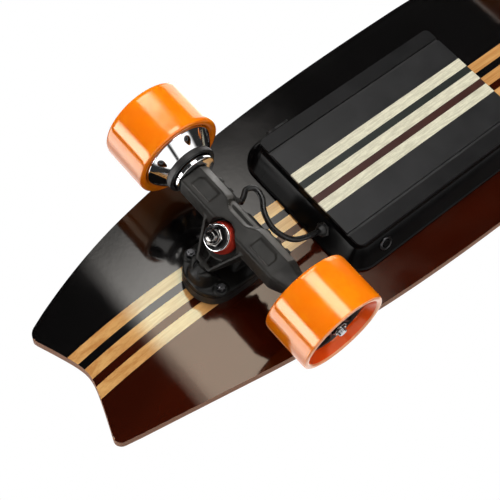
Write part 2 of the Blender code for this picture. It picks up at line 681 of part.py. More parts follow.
def build_rolling_core(name, side, centre, truck):
    """A plain wheel's core with a bearing at each end."""
    core = [(11.5, 88), (15, 88), (15, 98), (27, 98), (27, 86), (31, 86), (31, 119.5), (27, 119.5),
            (27, 110), (15, 110), (15, 118.7), (11.5, 118.7), (11.5, 111.1), (9, 111.1), (9, 96.4),
            (11.5, 96.4)]
    part(f"{name}_core", turned(core, 20, along_axle(side)), "black_plastic", centre, truck)
    for place, low in (("inner", 89), ("outer", 111.4)):
        bearing = [(4.3, low), (11, low), (11, low + 7), (4.3, low + 7)]
        part(f"{name}_bearing_{place}", turned(bearing, MEDIUM, along_axle(side)), "steel", centre, truck)


def build_axle_nut(name, side, low, centre, truck):
    """The nut that holds a wheel on, starting at a height along the axle."""
    nut = [(5, low), (7.5, low), (7.5, low + 5), (6.6, low + 6), (5, low + 6)]
    part(f"{name}_axle_nut", turned(nut, 6, along_axle(side)), "steel", centre, truck, crease=20)


def build_truck(end, axle_x, turn):
    """One truck with its wheels. The front one is the rear one turned about."""
    truck = empty(f"{end}_truck_frame", (axle_x, 0, UNDERSIDE_Z), turn)
    build_base(end, truck)
    build_kingpin(end, truck)
    build_hanger(end, truck)
    build_axle(end, truck)
    for side in (-1, 1):
        left = side > 0 if end == "rear" else side < 0
        name = f"{end}_left" if left else f"{end}_right"
        build_tyre(name, side, AXLE_POINT, truck)
        if name == MOTOR_WHEEL:
            build_motor(name, side, AXLE_POINT, truck)
            build_axle_nut(name, side, MOTOR_NUT_Y, AXLE_POINT, truck)
        else:
            build_rolling_core(name, side, AXLE_POINT, truck)
            build_axle_nut(name, side, ROLLING_NUT_Y, AXLE_POINT, truck)


# Motor cable --------------------------------------------------------------------------------

def smooth_route(places, spacing):
    """Points along a Catmull-Rom curve through the places, about a spacing apart."""
    knots = [2 * places[0] - places[1]] + places + [2 * places[-1] - places[-2]]
    points = []
    for before, start, stop, after in zip(knots, knots[1:], knots[2:], knots[3:]):
        steps = max(2, round((stop - start).length / spacing))
        for step in range(steps):
            t = step / steps
            points.append(0.5 * (2 * start + (stop - before) * t
                                 + (2 * before - 5 * start + 4 * stop - after) * t ** 2
                                 + (3 * start - before - 3 * stop + after) * t ** 3))
    points.append(places[-1])
    return points


def cable_route():
    """The motor lead's places in metres: from the gland round a slack loop into the hanger's back."""
    places = [GLAND_FRAME @ Vector((0, 0, reach * MM)) for reach in CABLE_START]
    for x, y, drop in CABLE_LOOP:
        places.append(Vector((REAR_AXLE_X + x * MM, y * MM, UNDERSIDE_Z - drop * MM)))
    return places


def build_cable():
    """The motor lead as one round cable."""
    points = smooth_route(cable_route(), 5 * CABLE_RADIUS)
    curve = bpy.data.curves.new("motor_cable", "CURVE")
    curve.dimensions = "3D"
    curve.bevel_depth = CABLE_RADIUS
    curve.bevel_resolution = 2
    curve.use_fill_caps = True
    spline = curve.splines.new("POLY")
    spline.points.add(len(points) - 1)
    for point, place in zip(spline.points, points):
        point.co = (*place, 1.0)
    curve.materials.append(finish("rubber"))
    cable = bpy.data.objects.new("motor_cable", curve)
    bpy.context.collection.objects.link(cable)


def main():
    for old in list(bpy.data.objects):
        bpy.data.objects.remove(old, do_unlink=True)
    build_deck()
    build_housing()
    build_electronics()
    build_fittings()
    build_truck("rear", REAR_AXLE_X, 0.0)
    build_truck("front", FRONT_AXLE_X, math.pi)
    build_bolts()
    build_cable()


main()
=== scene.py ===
"""Looks for the electric skateboard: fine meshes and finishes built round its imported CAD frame."""
import json
import math

import bmesh
import bpy
from mathutils import Matrix, Vector

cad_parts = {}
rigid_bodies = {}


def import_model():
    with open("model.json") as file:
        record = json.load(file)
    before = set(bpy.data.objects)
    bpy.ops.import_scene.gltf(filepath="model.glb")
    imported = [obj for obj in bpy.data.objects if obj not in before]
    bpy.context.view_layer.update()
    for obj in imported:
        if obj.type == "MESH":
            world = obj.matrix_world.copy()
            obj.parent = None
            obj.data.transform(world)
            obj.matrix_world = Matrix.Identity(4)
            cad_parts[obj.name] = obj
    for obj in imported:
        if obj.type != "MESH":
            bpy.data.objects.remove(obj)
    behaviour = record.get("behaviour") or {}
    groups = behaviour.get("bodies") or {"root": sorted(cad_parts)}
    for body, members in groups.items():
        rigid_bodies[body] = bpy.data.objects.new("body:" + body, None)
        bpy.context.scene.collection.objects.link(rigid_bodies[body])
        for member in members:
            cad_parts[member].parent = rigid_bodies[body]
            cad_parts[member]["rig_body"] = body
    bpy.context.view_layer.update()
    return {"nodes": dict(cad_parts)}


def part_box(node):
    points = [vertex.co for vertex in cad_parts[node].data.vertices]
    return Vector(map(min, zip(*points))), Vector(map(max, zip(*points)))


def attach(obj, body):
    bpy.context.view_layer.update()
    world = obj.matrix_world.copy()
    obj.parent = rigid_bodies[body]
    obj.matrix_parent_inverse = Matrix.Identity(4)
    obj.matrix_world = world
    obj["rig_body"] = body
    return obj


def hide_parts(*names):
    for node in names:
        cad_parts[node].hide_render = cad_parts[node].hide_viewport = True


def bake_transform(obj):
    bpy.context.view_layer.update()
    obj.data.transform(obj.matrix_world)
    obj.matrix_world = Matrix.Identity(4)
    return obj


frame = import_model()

MM = 0.001

# Board: the same driving sizes as the CAD, in metres.
UNDERSIDE_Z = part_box("deck")[0].z
BOARD_HALF_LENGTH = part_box("deck")[1].x
DECK_THICKNESS = 11.0 * MM
TAPE_TOP = 12.3 * MM
TAPE_INSET = 2.0 * MM
BOARD_HALF_WIDTH = 120.0 * MM
WIDEST_X = 80.0 * MM
TAIL_HALF_WIDTH = 64.0 * MM
TAIL_TAPER_POWER = 2.67
TAIL_POINT_Y = 57.0 * MM
TAIL_POINT_RADIUS = 9.0 * MM
NOTCH_DEPTH = 17.0 * MM
NOTCH_ROUNDING = 14.0 * MM
TAIL_KICK_X = -271.5 * MM
TAIL_KICK_RADIUS = 324.0 * MM
NOSE_KICK_X = 326.0 * MM
NOSE_KICK_RADIUS = 260.0 * MM
TAIL_SLICE_MM = 6.03
NOSE_SLICE_MM = 5.03
STRIPE_EDGES = (5.55 * MM, 12.85 * MM, 23.95 * MM)

# Enclosure.
LID_LOW, LID_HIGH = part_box("enclosure_lid")
BOX_X = (LID_LOW.x + LID_HIGH.x) / 2
LID_HALF_LENGTH = (LID_HIGH.x - LID_LOW.x) / 2
LID_HALF_WIDTH = (LID_HIGH.y - LID_LOW.y) / 2
LID_DROP = UNDERSIDE_Z - LID_LOW.z
WALL_SPREAD = 11.5 * MM
WALL_TOP_DROP = 28.0 * MM
FLANGE_DROP = 2.6 * MM
WALL_SLOPE = math.atan2(WALL_SPREAD, WALL_TOP_DROP - FLANGE_DROP)
WALL_MIDDLE_Z = UNDERSIDE_Z - (FLANGE_DROP + WALL_TOP_DROP) / 2
# Each level of the housing, in mm: its drop below the deck, growth past the lid and corner radius.
HOUSING_LEVELS = ((1.05, 12.6, 24), (1.4, 13, 25), (2.2, 13, 25), (2.6, 12.6, 24.5), (3.2, 11.4, 23), (12, 7.35, 18),
                  (23.2, 2.25, 11), (23.6, 1.9, 10.4), (24.1, 1.15, 9.4), (27.6, 0.35, 8), (28, -0.1, 7.6),
                  (28, -4, 6))
LID_BASE_DROP = 29.6 * MM
PANEL_TOP_DROP = 29.3 * MM
PANEL_EASE = 0.5 * MM
GROOVE_Y = 52.6 * MM
HALF_GROOVE = 1.5 * MM
LID_CORNER = 5.5 * MM
BUTTON_X = -111.0 * MM
GLAND_Y = 30.0 * MM

# Trucks, in mm: x from the axle towards the board's middle, drops below the deck.
AXLE_DROP = 70.1
RING = Vector((-12, 0, -55))
STEER_ANGLE = math.radians(38)
MOTOR_ARM_END = 57.2
PLAIN_ARM_END = 76.0
WHEEL_INNER = 79.6
WHEEL_OUTER = 129.2
RECESS_DEPTH = 9.5
RISER_DROP = 12
PLATE_TOP_DROP = 12.3
BUSHING_SEAT = 6.3
BUSHING_TOP = 19.7
KINGPIN_END = 34
AXLE_REACH = 128
MOTOR_NUT_Y = 121.3
PLAIN_NUT_Y = 119
BOLT_PLACES = [(x, y) for x in (-34, 20) for y in (-20.64, 20.64)]
CONE_TILT = math.radians(128.7)
CABLE_RADIUS = 2.6 * MM
AXLE_X = {end: sum(corner.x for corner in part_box(f"{end}_axle")) / 2 for end in ("rear", "front")}

# Camera: its turns about X, Y and Z, and the rear truck's place before it in metres.
CAMERA_TURNS = (-0.486, -0.0721, -0.701)
TRUCK_BEFORE_CAMERA = Vector((-0.0134, 0.0093, 0.9955))
LENS_MM = 81.37
SENSOR_MM = 36.0


# Node materials -----------------------------------------------------------------------------

class Tree:
    """A node tree with short calls for the nodes that these finishes use."""

    def __init__(self, tree):
        self.tree = tree

    def plug(self, socket, value):
        if isinstance(value, bpy.types.NodeSocket):
            self.tree.links.new(value, socket)
        elif hasattr(value, "__len__") and len(value) == 3 and socket.type == "RGBA":
            socket.default_value = (*value, 1.0)
        else:
            socket.default_value = value

    def node(self, kind, inputs=(), **settings):
        made = self.tree.nodes.new(kind)
        for key, value in settings.items():
            setattr(made, key, value)
        for socket, value in dict(inputs).items():
            self.plug(made.inputs[socket], value)
        return made

    def math(self, operation, a, b=0.0):
        return self.node("ShaderNodeMath", {0: a, 1: b}, operation=operation).outputs[0]

    def times(self, *values):
        total = values[0]
        for value in values[1:]:
            total = self.math("MULTIPLY", total, value)
        return total

    def plus(self, *values):
        total = values[0]
        for value in values[1:]:
            total = self.math("ADD", total, value)
        return total

    def rise(self, value, low, high, to_low=0.0, to_high=1.0):
        """A smooth climb from to_low to to_high as value goes from low to high; low may be the larger."""
        if low > high:
            low, high, to_low, to_high = high, low, to_high, to_low
        return self.node("ShaderNodeMapRange", {"Value": value, "From Min": low, "From Max": high,
                                                "To Min": to_low, "To Max": to_high},
                         interpolation_type="SMOOTHSTEP").outputs[0]

    def mix(self, factor, a, b):
        made = self.node("ShaderNodeMix", data_type="RGBA")
        self.plug(made.inputs["Factor"], factor)
        self.plug(made.inputs[6], a)
        self.plug(made.inputs[7], b)
        return made.outputs[2]

    def place(self, stretch=(1, 1, 1)):
        """Object coordinates, squeezed along each axis."""
        here = self.node("ShaderNodeTexCoord").outputs["Object"]
        return self.node("ShaderNodeMapping", {"Vector": here, "Scale": stretch}).outputs[0]

    def noise(self, size, stretch=(1, 1, 1), detail=3.0, roughness=0.55, distortion=0.0):
        """Noise with features about size mm across."""
        return self.node("ShaderNodeTexNoise", {"Vector": self.place(stretch), "Scale": 1000 / size,
                                                "Detail": detail, "Roughness": roughness,
                                                "Distortion": distortion}).outputs[0]

    def axes(self):
        """The X, Y and Z of object coordinates."""
        split = self.node("ShaderNodeSeparateXYZ", {0: self.place()})
        return split.outputs[0], split.outputs[1], split.outputs[2]


class Finish(Tree):
    """A Principled material: uniform values go straight onto the shader's sockets."""

    def __init__(self, name, colour, roughness, **sockets):
        self.material = bpy.data.materials.new(name)
        self.material.use_nodes = True
        super().__init__(self.material.node_tree)
        self.shader = self.tree.nodes["Principled BSDF"]
        self.material.diffuse_color = (*colour, 1.0)
        self.set("Base Color", colour)
        self.set("Roughness", roughness)
        for socket, value in sockets.items():
            self.set(socket.replace("_", " "), value)

    def set(self, socket, value):
        self.plug(self.shader.inputs[socket], value)

    def mottle(self, a, b, size, stretch=(1, 1, 1), low=0.35, high=0.65):
        """Colour that wanders between two shades."""
        self.set("Base Color", self.mix(self.rise(self.noise(size, stretch), low, high), a, b))

    def scuff(self, low, high, size, stretch=(1, 1, 1)):
        """Roughness that wanders between two values."""
        self.set("Roughness", self.rise(self.noise(size, stretch, detail=5), 0.3, 0.7, low, high))

    def bump(self, height, strength, depth_mm):
        made = self.node("ShaderNodeBump", {"Height": height, "Strength": strength, "Distance": depth_mm * MM})
        self.set("Normal", made.outputs[0])

    def grain(self, size, strength, depth_mm, stretch=(1, 1, 1), detail=3.0):
        self.bump(self.noise(size, stretch, detail), strength, depth_mm)


def lacquer(name, colour, tint, level):
    """Deep gloss lacquer with a faint orange peel and a little dust-fine haze."""
    look = Finish(name, colour, 0.06, Specular_IOR_Level=level, Specular_Tint=tint)
    look.mottle(colour, tuple(min(1, c * 1.35) for c in colour), 45, (0.3, 1, 1))
    look.scuff(0.05, 0.11, 30)
    look.grain(5, 0.05, 0.25, detail=1.0)
    return look.material


def wood_stripe():
    """Lacquered golden veneer with long fine grain."""
    look = Finish("stripe_veneer", (0.55, 0.27, 0.085), 0.08, Specular_IOR_Level=0.75,
                  Specular_Tint=(0.62, 1, 0.85))
    broad = look.noise(9, (0.05, 1, 1), detail=4, distortion=0.6)
    fine = look.noise(1.1, (0.03, 1, 1), detail=5)
    figure = look.plus(look.times(broad, 0.65), look.times(fine, 0.35))
    look.set("Base Color", look.mix(look.rise(figure, 0.36, 0.64), (0.59, 0.33, 0.115), (0.42, 0.183, 0.05)))
    look.scuff(0.06, 0.13, 30)
    look.bump(fine, 0.08, 0.05)
    return look.material


def ply_edge():
    """The deck's cut edge: thin veneers of tan, pink and brown under lacquer."""
    look = Finish("ply_edge", (0.3, 0.14, 0.06), 0.55, Specular_IOR_Level=0.1)
    rise = look.math("SUBTRACT", look.axes()[2], UNDERSIDE_Z)
    layer = look.times(rise, 1000 / 1.6)
    wave = look.math("FRACT", look.times(layer, 0.5))
    grain = look.noise(2.2, (0.12, 0.12, 1), detail=5)
    pale = look.mix(grain, (0.4, 0.2, 0.09), (0.28, 0.12, 0.05))
    pink = look.mix(grain, (0.16, 0.045, 0.02), (0.09, 0.022, 0.01))
    look.set("Base Color", look.mix(look.rise(wave, 0.44, 0.56), pale, pink))
    look.bump(grain, 0.2, 0.1)
    return look.material


def grip():
    """Sharp black grit on tape, worn paler where feet stand."""
    look = Finish("grip_grit", (0.012, 0.012, 0.012), 0.9, Specular_IOR_Level=0.35)
    cells = look.node("ShaderNodeTexVoronoi", {"Vector": look.place(), "Scale": 1000 / 0.7}).outputs["Distance"]
    sparkle = look.rise(cells, 0.32, 0.08)
    worn = look.times(look.rise(look.noise(90, detail=5), 0.5, 0.75), 0.5)
    base = look.mix(worn, (0.009, 0.009, 0.009), (0.028, 0.027, 0.026))
    look.set("Base Color", look.mix(look.times(sparkle, 0.4), base, (0.09, 0.09, 0.09)))
    look.set("Roughness", look.rise(cells, 0.0, 0.5, 0.55, 0.98))
    look.bump(look.plus(cells, look.noise(0.5)), 0.8, 0.35)
    return look.material


def painted(name, dark, pale, low, high, grain_mm=0.6, depth_mm=0.05, level=0.4):
    """Satin paint or moulded plastic with a fine stipple."""
    look = Finish(name, dark, (low + high) / 2, Specular_IOR_Level=level)
    look.mottle(dark, pale, 28)
    look.scuff(low, high, 18)
    look.grain(grain_mm, 0.35, depth_mm)
    return look.material


def printed(name, dark, pale):
    """A wood-look stripe printed on the lid: fine short grain along the board."""
    look = Finish(name, pale, 0.42, Specular_IOR_Level=0.2)
    streak = look.noise(1.6, (0.12, 1, 1), detail=6)
    speck = look.noise(0.6, (0.5, 1, 1), detail=2)
    print_grain = look.plus(look.times(streak, 0.7), look.times(speck, 0.3))
    look.set("Base Color", look.mix(look.rise(print_grain, 0.35, 0.62), pale, dark))
    look.scuff(0.36, 0.5, 12)
    look.bump(speck, 0.25, 0.03)
    return look.material


def casting(name, dark, pale, worn, level):
    """Graphite paint over a casting: fine grit and edges rubbed to a paler grey."""
    look = Finish(name, pale, 0.42, Specular_IOR_Level=level)
    edge = look.node("ShaderNodeNewGeometry").outputs["Pointiness"]
    rubbed = look.times(look.rise(edge, 0.53, 0.6), look.rise(look.noise(5), 0.3, 0.6))
    base = look.mix(look.rise(look.noise(22), 0.35, 0.65), dark, pale)
    look.set("Base Color", look.mix(look.times(rubbed, 0.6), base, worn))
    look.scuff(0.34, 0.52, 9)
    look.bump(look.plus(look.noise(0.7), look.noise(2.4)), 0.25, 0.09)
    return look.material


def bright(name, colour, low, high, brushed=(1, 1, 1)):
    """Plated or machined metal with fine turning or brushing marks."""
    look = Finish(name, colour, low, Metallic=1.0)
    look.mottle(colour, tuple(c * 0.86 for c in colour), 14)
    look.scuff(low, high, 6, brushed)
    look.grain(0.8, 0.06, 0.02, brushed)
    return look.material


def urethane(name, near, far, level=0.7, warmth=(1, 0.8, 0.52)):
    """Clear-toned cast urethane: glossy, with faint cloudiness and a few hair-fine scuffs."""
    look = Finish(name, near, 0.12, Specular_IOR_Level=level, Specular_Tint=warmth, Subsurface_Weight=0.12,
                  Subsurface_Radius=(0.004, 0.0012, 0.0004), Subsurface_Scale=1.0)
    look.mottle(near, far, 26)
    look.scuff(0.09, 0.16, 12)
    look.grain(9, 0.05, 0.2, detail=1.0)
    return look.material


def rubbery(name, colour, roughness):
    look = Finish(name, colour, roughness, Specular_IOR_Level=0.4)
    look.mottle(colour, tuple(c * 1.7 + 0.002 for c in colour), 12)
    look.scuff(roughness - 0.1, roughness + 0.12, 8)
    look.grain(0.45, 0.3, 0.04)
    return look.material


def windings():
    """Copper wire laid round and round."""
    look = Finish("copper_windings", (0.4, 0.14, 0.05), 0.35, Metallic=1.0)
    wires = look.noise(0.9, (1, 0.1, 1), detail=2)
    look.set("Base Color", look.mix(wires, (0.5, 0.19, 0.07), (0.12, 0.035, 0.012)))
    look.bump(wires, 0.6, 0.25)
    return look.material


def cell_wrap():
    """Blue shrink film over a pack of cells."""
    look = Finish("cell_wrap", (0.01, 0.05, 0.3), 0.35)
    wrinkle = look.noise(11, (1, 0.3, 1), detail=5, distortion=1.0)
    look.set("Base Color", look.mix(wrinkle, (0.008, 0.04, 0.24), (0.02, 0.09, 0.4)))
    look.bump(wrinkle, 0.4, 0.6)
    return look.material


def circuit():
    """Solder mask with paler tracks."""
    look = Finish("circuit_mask", (0.01, 0.1, 0.03), 0.3)
    tracks = look.node("ShaderNodeTexBrick", {"Vector": look.place(), "Scale": 260.0, "Mortar Size": 0.015,
                                              "Color1": (0.01, 0.1, 0.03, 1), "Color2": (0.012, 0.12, 0.04, 1),
                                              "Mortar": (0.05, 0.28, 0.1, 1)})
    look.set("Base Color", tracks.outputs[0])
    look.bump(tracks.outputs[1], 0.3, 0.05)
    return look.material


LID_PAINT = {"low": 0.28, "high": 0.37, "grain_mm": 0.5, "depth_mm": 0.03}
LOOKS = {
    "black_lacquer": lacquer("black_lacquer", (0.0022, 0.002, 0.0021), (1, 0.97, 0.93), 0.42),
    "brown_lacquer": lacquer("brown_lacquer", (0.021, 0.0022, 0.0004), (1, 0.82, 0.64), 0.46),
    "stripe": wood_stripe(),
    "ply": ply_edge(),
    "grip": grip(),
    "housing": painted("housing_plastic", (0.002, 0.002, 0.0022), (0.0035, 0.0035, 0.0038), 0.15, 0.23, level=0.06),
    "lid": painted("lid_charcoal", (0.009, 0.0092, 0.0098), (0.0125, 0.0127, 0.0135), level=0.2, **LID_PAINT),
    "lid_rail": painted("lid_rail", (0.004, 0.004, 0.0043), (0.0065, 0.0065, 0.007), level=0.12, **LID_PAINT),
    "lid_brown": painted("lid_brown", (0.034, 0.009, 0.006), (0.045, 0.0125, 0.008), level=0.18, **LID_PAINT),
    "lid_green": painted("lid_grey", (0.009, 0.012, 0.0105), (0.013, 0.017, 0.0145), level=0.2, **LID_PAINT),
    "cream": printed("cream_print", (0.46, 0.44, 0.33), (0.64, 0.62, 0.48)),
    "groove": painted("groove_black", (0.002, 0.002, 0.002), (0.004, 0.004, 0.004), 0.5, 0.65),
    "casting": casting("graphite_casting", (0.013, 0.0125, 0.0115), (0.022, 0.021, 0.019), (0.1, 0.096, 0.09), 0.12),
    # A paler, shinier copy of the graphite casting for the hanger's nose-side bevel: a painted highlight where the
    # key light falls. Its rubbed edges are wear, as on the other castings.
    "casting_painted_highlight": casting("graphite_painted_highlight", (0.05, 0.048, 0.044), (0.075, 0.072, 0.067), (0.2, 0.19, 0.18), 0.5),
    "casting_base": casting("black_casting", (0.004, 0.004, 0.0038), (0.008, 0.0078, 0.0072), (0.05, 0.049, 0.046),
                            0.15),
    "chrome": bright("chrome", (0.78, 0.79, 0.81), 0.045, 0.1),
    "zinc": bright("zinc_steel", (0.42, 0.42, 0.43), 0.2, 0.36),
    "black_steel": bright("black_steel", (0.06, 0.06, 0.063), 0.24, 0.4),
    "dark_steel": bright("dark_steel", (0.16, 0.155, 0.15), 0.12, 0.22),
    "tyre": urethane("tyre_orange", (0.95, 0.195, 0.001), (0.98, 0.245, 0.0015), 0.95, (1, 0.89, 0.68)),
    "tyre_lip": urethane("tyre_lip", (0.93, 0.33, 0.14), (0.95, 0.42, 0.22)),
    "tyre_recess": urethane("tyre_recess", (0.88, 0.075, 0.004), (0.93, 0.105, 0.008), 0.4),
    "bushing": urethane("bushing_red", (0.33, 0.022, 0.013), (0.42, 0.035, 0.02), 0.5),
    "rubber": rubbery("black_rubber", (0.004, 0.004, 0.004), 0.5),
    "cable": rubbery("cable_jacket", (0.004, 0.004, 0.004), 0.32),
    "core": painted("core_nylon", (0.006, 0.006, 0.006), (0.012, 0.012, 0.012), 0.3, 0.45),
    "windings": windings(),
    "cells": cell_wrap(),
    "circuit": circuit(),
}


# Mesh makers --------------------------------------------------------------------------------

def as_object(name, shape):
    """A shape turned into a linked object."""
    mesh = bpy.data.meshes.new(name)
    shape.to_mesh(mesh)
    shape.free()
    made = bpy.data.objects.new(name, mesh)
    bpy.context.collection.objects.link(made)
    return made


def discard(work):
    mesh = work.data
    bpy.data.objects.remove(work)
    bpy.data.meshes.remove(mesh)


def piece(name, shape, looks, body, replaces=(), crease=38):
    """A finished piece from a mesh in the board's frame; faces use the looks by index."""
    bmesh.ops.recalc_face_normals(shape, faces=shape.faces)
    made = as_object(name, shape)
    for look in ([looks] if isinstance(looks, str) else looks):
        made.data.materials.append(LOOKS[look])
    made.data.shade_smooth()
    made.data.set_sharp_from_angle(angle=math.radians(crease))
    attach(made, body)
    if replaces:
        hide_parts(*([replaces] if isinstance(replaces, str) else replaces))
    return made


def bend(made, board_end, other_end):
    """Free a soft piece from its rigid body and bake its place into its mesh."""
    made.parent = None
    del made["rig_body"]
    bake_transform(made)
    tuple(board_end)
    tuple(other_end)


def moved(shape, matrix):
    bmesh.ops.transform(shape, matrix=matrix, verts=shape.verts)
    return shape


def scaled(frame_mm):
    """A frame whose own units are mm, for shapes drawn in mm."""
    return frame_mm @ Matrix.Scale(MM, 4)


def merged(*shapes):
    """One mesh of several, kept as separate shells."""
    whole = bmesh.new()
    for shape in shapes:
        mesh = bpy.data.meshes.new("part")
        shape.to_mesh(mesh)
        shape.free()
        whole.from_mesh(mesh)
        bpy.data.meshes.remove(mesh)
    return whole


def rounded(points, radius, closed=True, steps=3):
    """A polyline with its corners eased, each by no more than its sides allow."""
    points = [Vector(point) for point in points]
    out = []
    for i, point in enumerate(points):
        if not closed and i in (0, len(points) - 1):
            out.append(point)
            continue
        before = points[i - 1] - point
        after = points[(i + 1) % len(points)] - point
        cut = min(radius, before.length * 0.45, after.length * 0.45)
        start = point + before.normalized() * cut
        stop = point + after.normalized() * cut
        for step in range(steps + 1):
            t = step / steps
            out.append((1 - t) ** 2 * start + 2 * t * (1 - t) * point + t * t * stop)
    return out


def turned(profile, segments, look_of=None):
    """Spin a closed (radius, height) profile about Z. look_of maps a place on the profile to a look's index."""
    shape = bmesh.new()
    rings = []
    for radius, height in profile:
        if radius < 1e-6:
            rings.append([shape.verts.new((0, 0, height))] * segments)
            continue
        rings.append([shape.verts.new((radius * math.cos(math.tau * i / segments),
                                       radius * math.sin(math.tau * i / segments), height))
                      for i in range(segments)])
    for index in range(len(profile)):
        lower, upper = rings[index], rings[(index + 1) % len(rings)]
        middle = (Vector(profile[index]) + Vector(profile[(index + 1) % len(profile)])) / 2
        for i in range(segments):
            j = (i + 1) % segments
            corners = list(dict.fromkeys((lower[i], lower[j], upper[j], upper[i])))
            if len(corners) > 2:
                face = shape.faces.new(corners)
                face.material_index = look_of(middle) if look_of else 0
    return shape


def spun(points, ease, segments, closed=True, steps=3, look_of=None):
    """The same with the profile's corners eased first."""
    return turned(rounded(points, ease, closed, steps), segments, look_of)


def loft(loops):
    """A closed skin through loops of points, with a face over each end."""
    shape = bmesh.new()
    rings = [[shape.verts.new(point) for point in loop] for loop in loops]
    for lower, upper in zip(rings, rings[1:]):
        for i in range(len(lower)):
            j = (i + 1) % len(lower)
            shape.faces.new((lower[i], lower[j], upper[j], upper[i]))
    shape.faces.new(rings[0])
    shape.faces.new(rings[-1])
    return shape


def prism(outline, low, high):
    return loft([[(point[0], point[1], z) for point in outline] for z in (low, high)])


def rod(radius, low, high, segments):
    """A plain round bar about Z."""
    return turned([(0, low), (radius, low), (radius, high), (0, high)], segments)


def sliced(shape, place, normal, clear=False):
    """Split the faces along a plane, and clear the side that the normal points to if asked."""
    bmesh.ops.bisect_plane(shape, geom=shape.verts[:] + shape.edges[:] + shape.faces[:], plane_co=place,
                           plane_no=normal, clear_outer=clear)


def frame_of(out, along, origin):
    """A frame whose Z points out and whose X points along."""
    placed = Matrix((along, out.cross(along), out)).transposed().to_4x4()
    placed.translation = origin
    return placed


def ease_edges(shape, width, angle=40, segments=2):
    """Round a shape's sharp edges."""
    sharp = [edge for edge in shape.edges
             if len(edge.link_faces) == 2 and edge.calc_face_angle(0) > math.radians(angle)]
    bmesh.ops.bevel(shape, geom=sharp, offset=width, segments=segments, profile=0.6, affect="EDGES",
                    clamp_overlap=True)
    return shape


def arc(x, y, radius, start, stop, steps):
    """Points on an arc, with its angles in degrees."""
    angles = [math.radians(start + (stop - start) * step / steps) for step in range(steps + 1)]
    return [(x + radius * math.cos(angle), y + radius * math.sin(angle)) for angle in angles]


def rounded_rectangle(centre_x, half_x, half_y, radius, steps=8):
    points = []
    for quarter in range(4):
        along = 1 if quarter in (0, 3) else -1
        across = 1 if quarter < 2 else -1
        for step in range(steps + 1):
            angle = (quarter + step / steps) * math.pi / 2
            points.append((centre_x + along * (half_x - radius) + radius * math.cos(angle),
                           across * (half_y - radius) + radius * math.sin(angle)))
    return points


def hull(points):
    shape = bmesh.new()
    verts = [shape.verts.new(point) for point in points]
    result = bmesh.ops.convex_hull(shape, input=verts)
    inside = result["geom_interior"] + result["geom_unused"]
    spare = {item for item in inside if isinstance(item, bmesh.types.BMVert)}
    bmesh.ops.delete(shape, geom=list(spare), context="VERTS")
    return shape


def hexagon(across_corners, low, high, chamfer=0.7):
    """A hexagon nut or head with its corners turned off, in mm."""
    loops = []
    for height, size in ((low, across_corners - chamfer), (low + chamfer * 0.6, across_corners),
                         (high - chamfer * 0.6, across_corners), (high, across_corners - chamfer)):
        loops.append([(size * math.cos(math.tau * i / 6), size * math.sin(math.tau * i / 6), height)
                      for i in range(6)])
    return ease_edges(loft(loops), 0.25, 20, 1)


def applied(shape, *steps):
    """A mesh after modifiers, each given as (type, settings)."""
    bmesh.ops.recalc_face_normals(shape, faces=shape.faces)
    work = as_object("work", shape)
    for kind, settings in steps:
        step = work.modifiers.new(kind, kind)
        for key, value in settings.items():
            setattr(step, key, value)
    bpy.context.view_layer.update()
    result = bmesh.new()
    result.from_object(work, bpy.context.evaluated_depsgraph_get())
    discard(work)
    return result


def carved(shape, cuts):
    """A shape with the cuts taken away."""
    for cut in cuts:
        bmesh.ops.recalc_face_normals(cut, faces=cut.faces)
    tools = [as_object("cut", cut) for cut in cuts]
    steps = [("BOOLEAN", {"operation": "DIFFERENCE", "object": tool, "solver": "EXACT"}) for tool in tools]
    result = applied(shape, *steps)
    for tool in tools:
        discard(tool)
    return result


def cast(shells, cuts, voxel=0.75, smoothing=5):
    """Shells run together into one casting with small fillets everywhere, in mm."""
    whole = merged(*(carved(shell, [cut.copy() for cut in cuts]) for shell in shells))
    for cut in cuts:
        cut.free()
    return applied(whole, ("REMESH", {"mode": "VOXEL", "voxel_size": voxel}),
                   ("SMOOTH", {"factor": 0.5, "iterations": smoothing}), ("DECIMATE", {"ratio": 0.45}))


# Deck ---------------------------------------------------------------------------------------

def half_width(x):
    if x > WIDEST_X:
        reach = (x - WIDEST_X) / (BOARD_HALF_LENGTH - WIDEST_X)
        return BOARD_HALF_WIDTH * math.sqrt(max(0.0, 1 - reach ** 2))
    reach = (WIDEST_X - x) / (WIDEST_X + BOARD_HALF_LENGTH)
    return BOARD_HALF_WIDTH - (BOARD_HALF_WIDTH - TAIL_HALF_WIDTH) * reach ** TAIL_TAPER_POWER


def notch_x(y):
    reach = math.hypot(y, NOTCH_ROUNDING) - NOTCH_ROUNDING
    full = math.hypot(TAIL_POINT_Y, NOTCH_ROUNDING) - NOTCH_ROUNDING
    return -BOARD_HALF_LENGTH + NOTCH_DEPTH * (1 - reach / full)


def kick(x):
    tail = max(0.0, TAIL_KICK_X - x)
    nose = max(0.0, x - NOSE_KICK_X)
    rise = TAIL_KICK_RADIUS - math.sqrt(TAIL_KICK_RADIUS ** 2 - tail ** 2)
    return rise + NOSE_KICK_RADIUS - math.sqrt(NOSE_KICK_RADIUS ** 2 - nose ** 2)


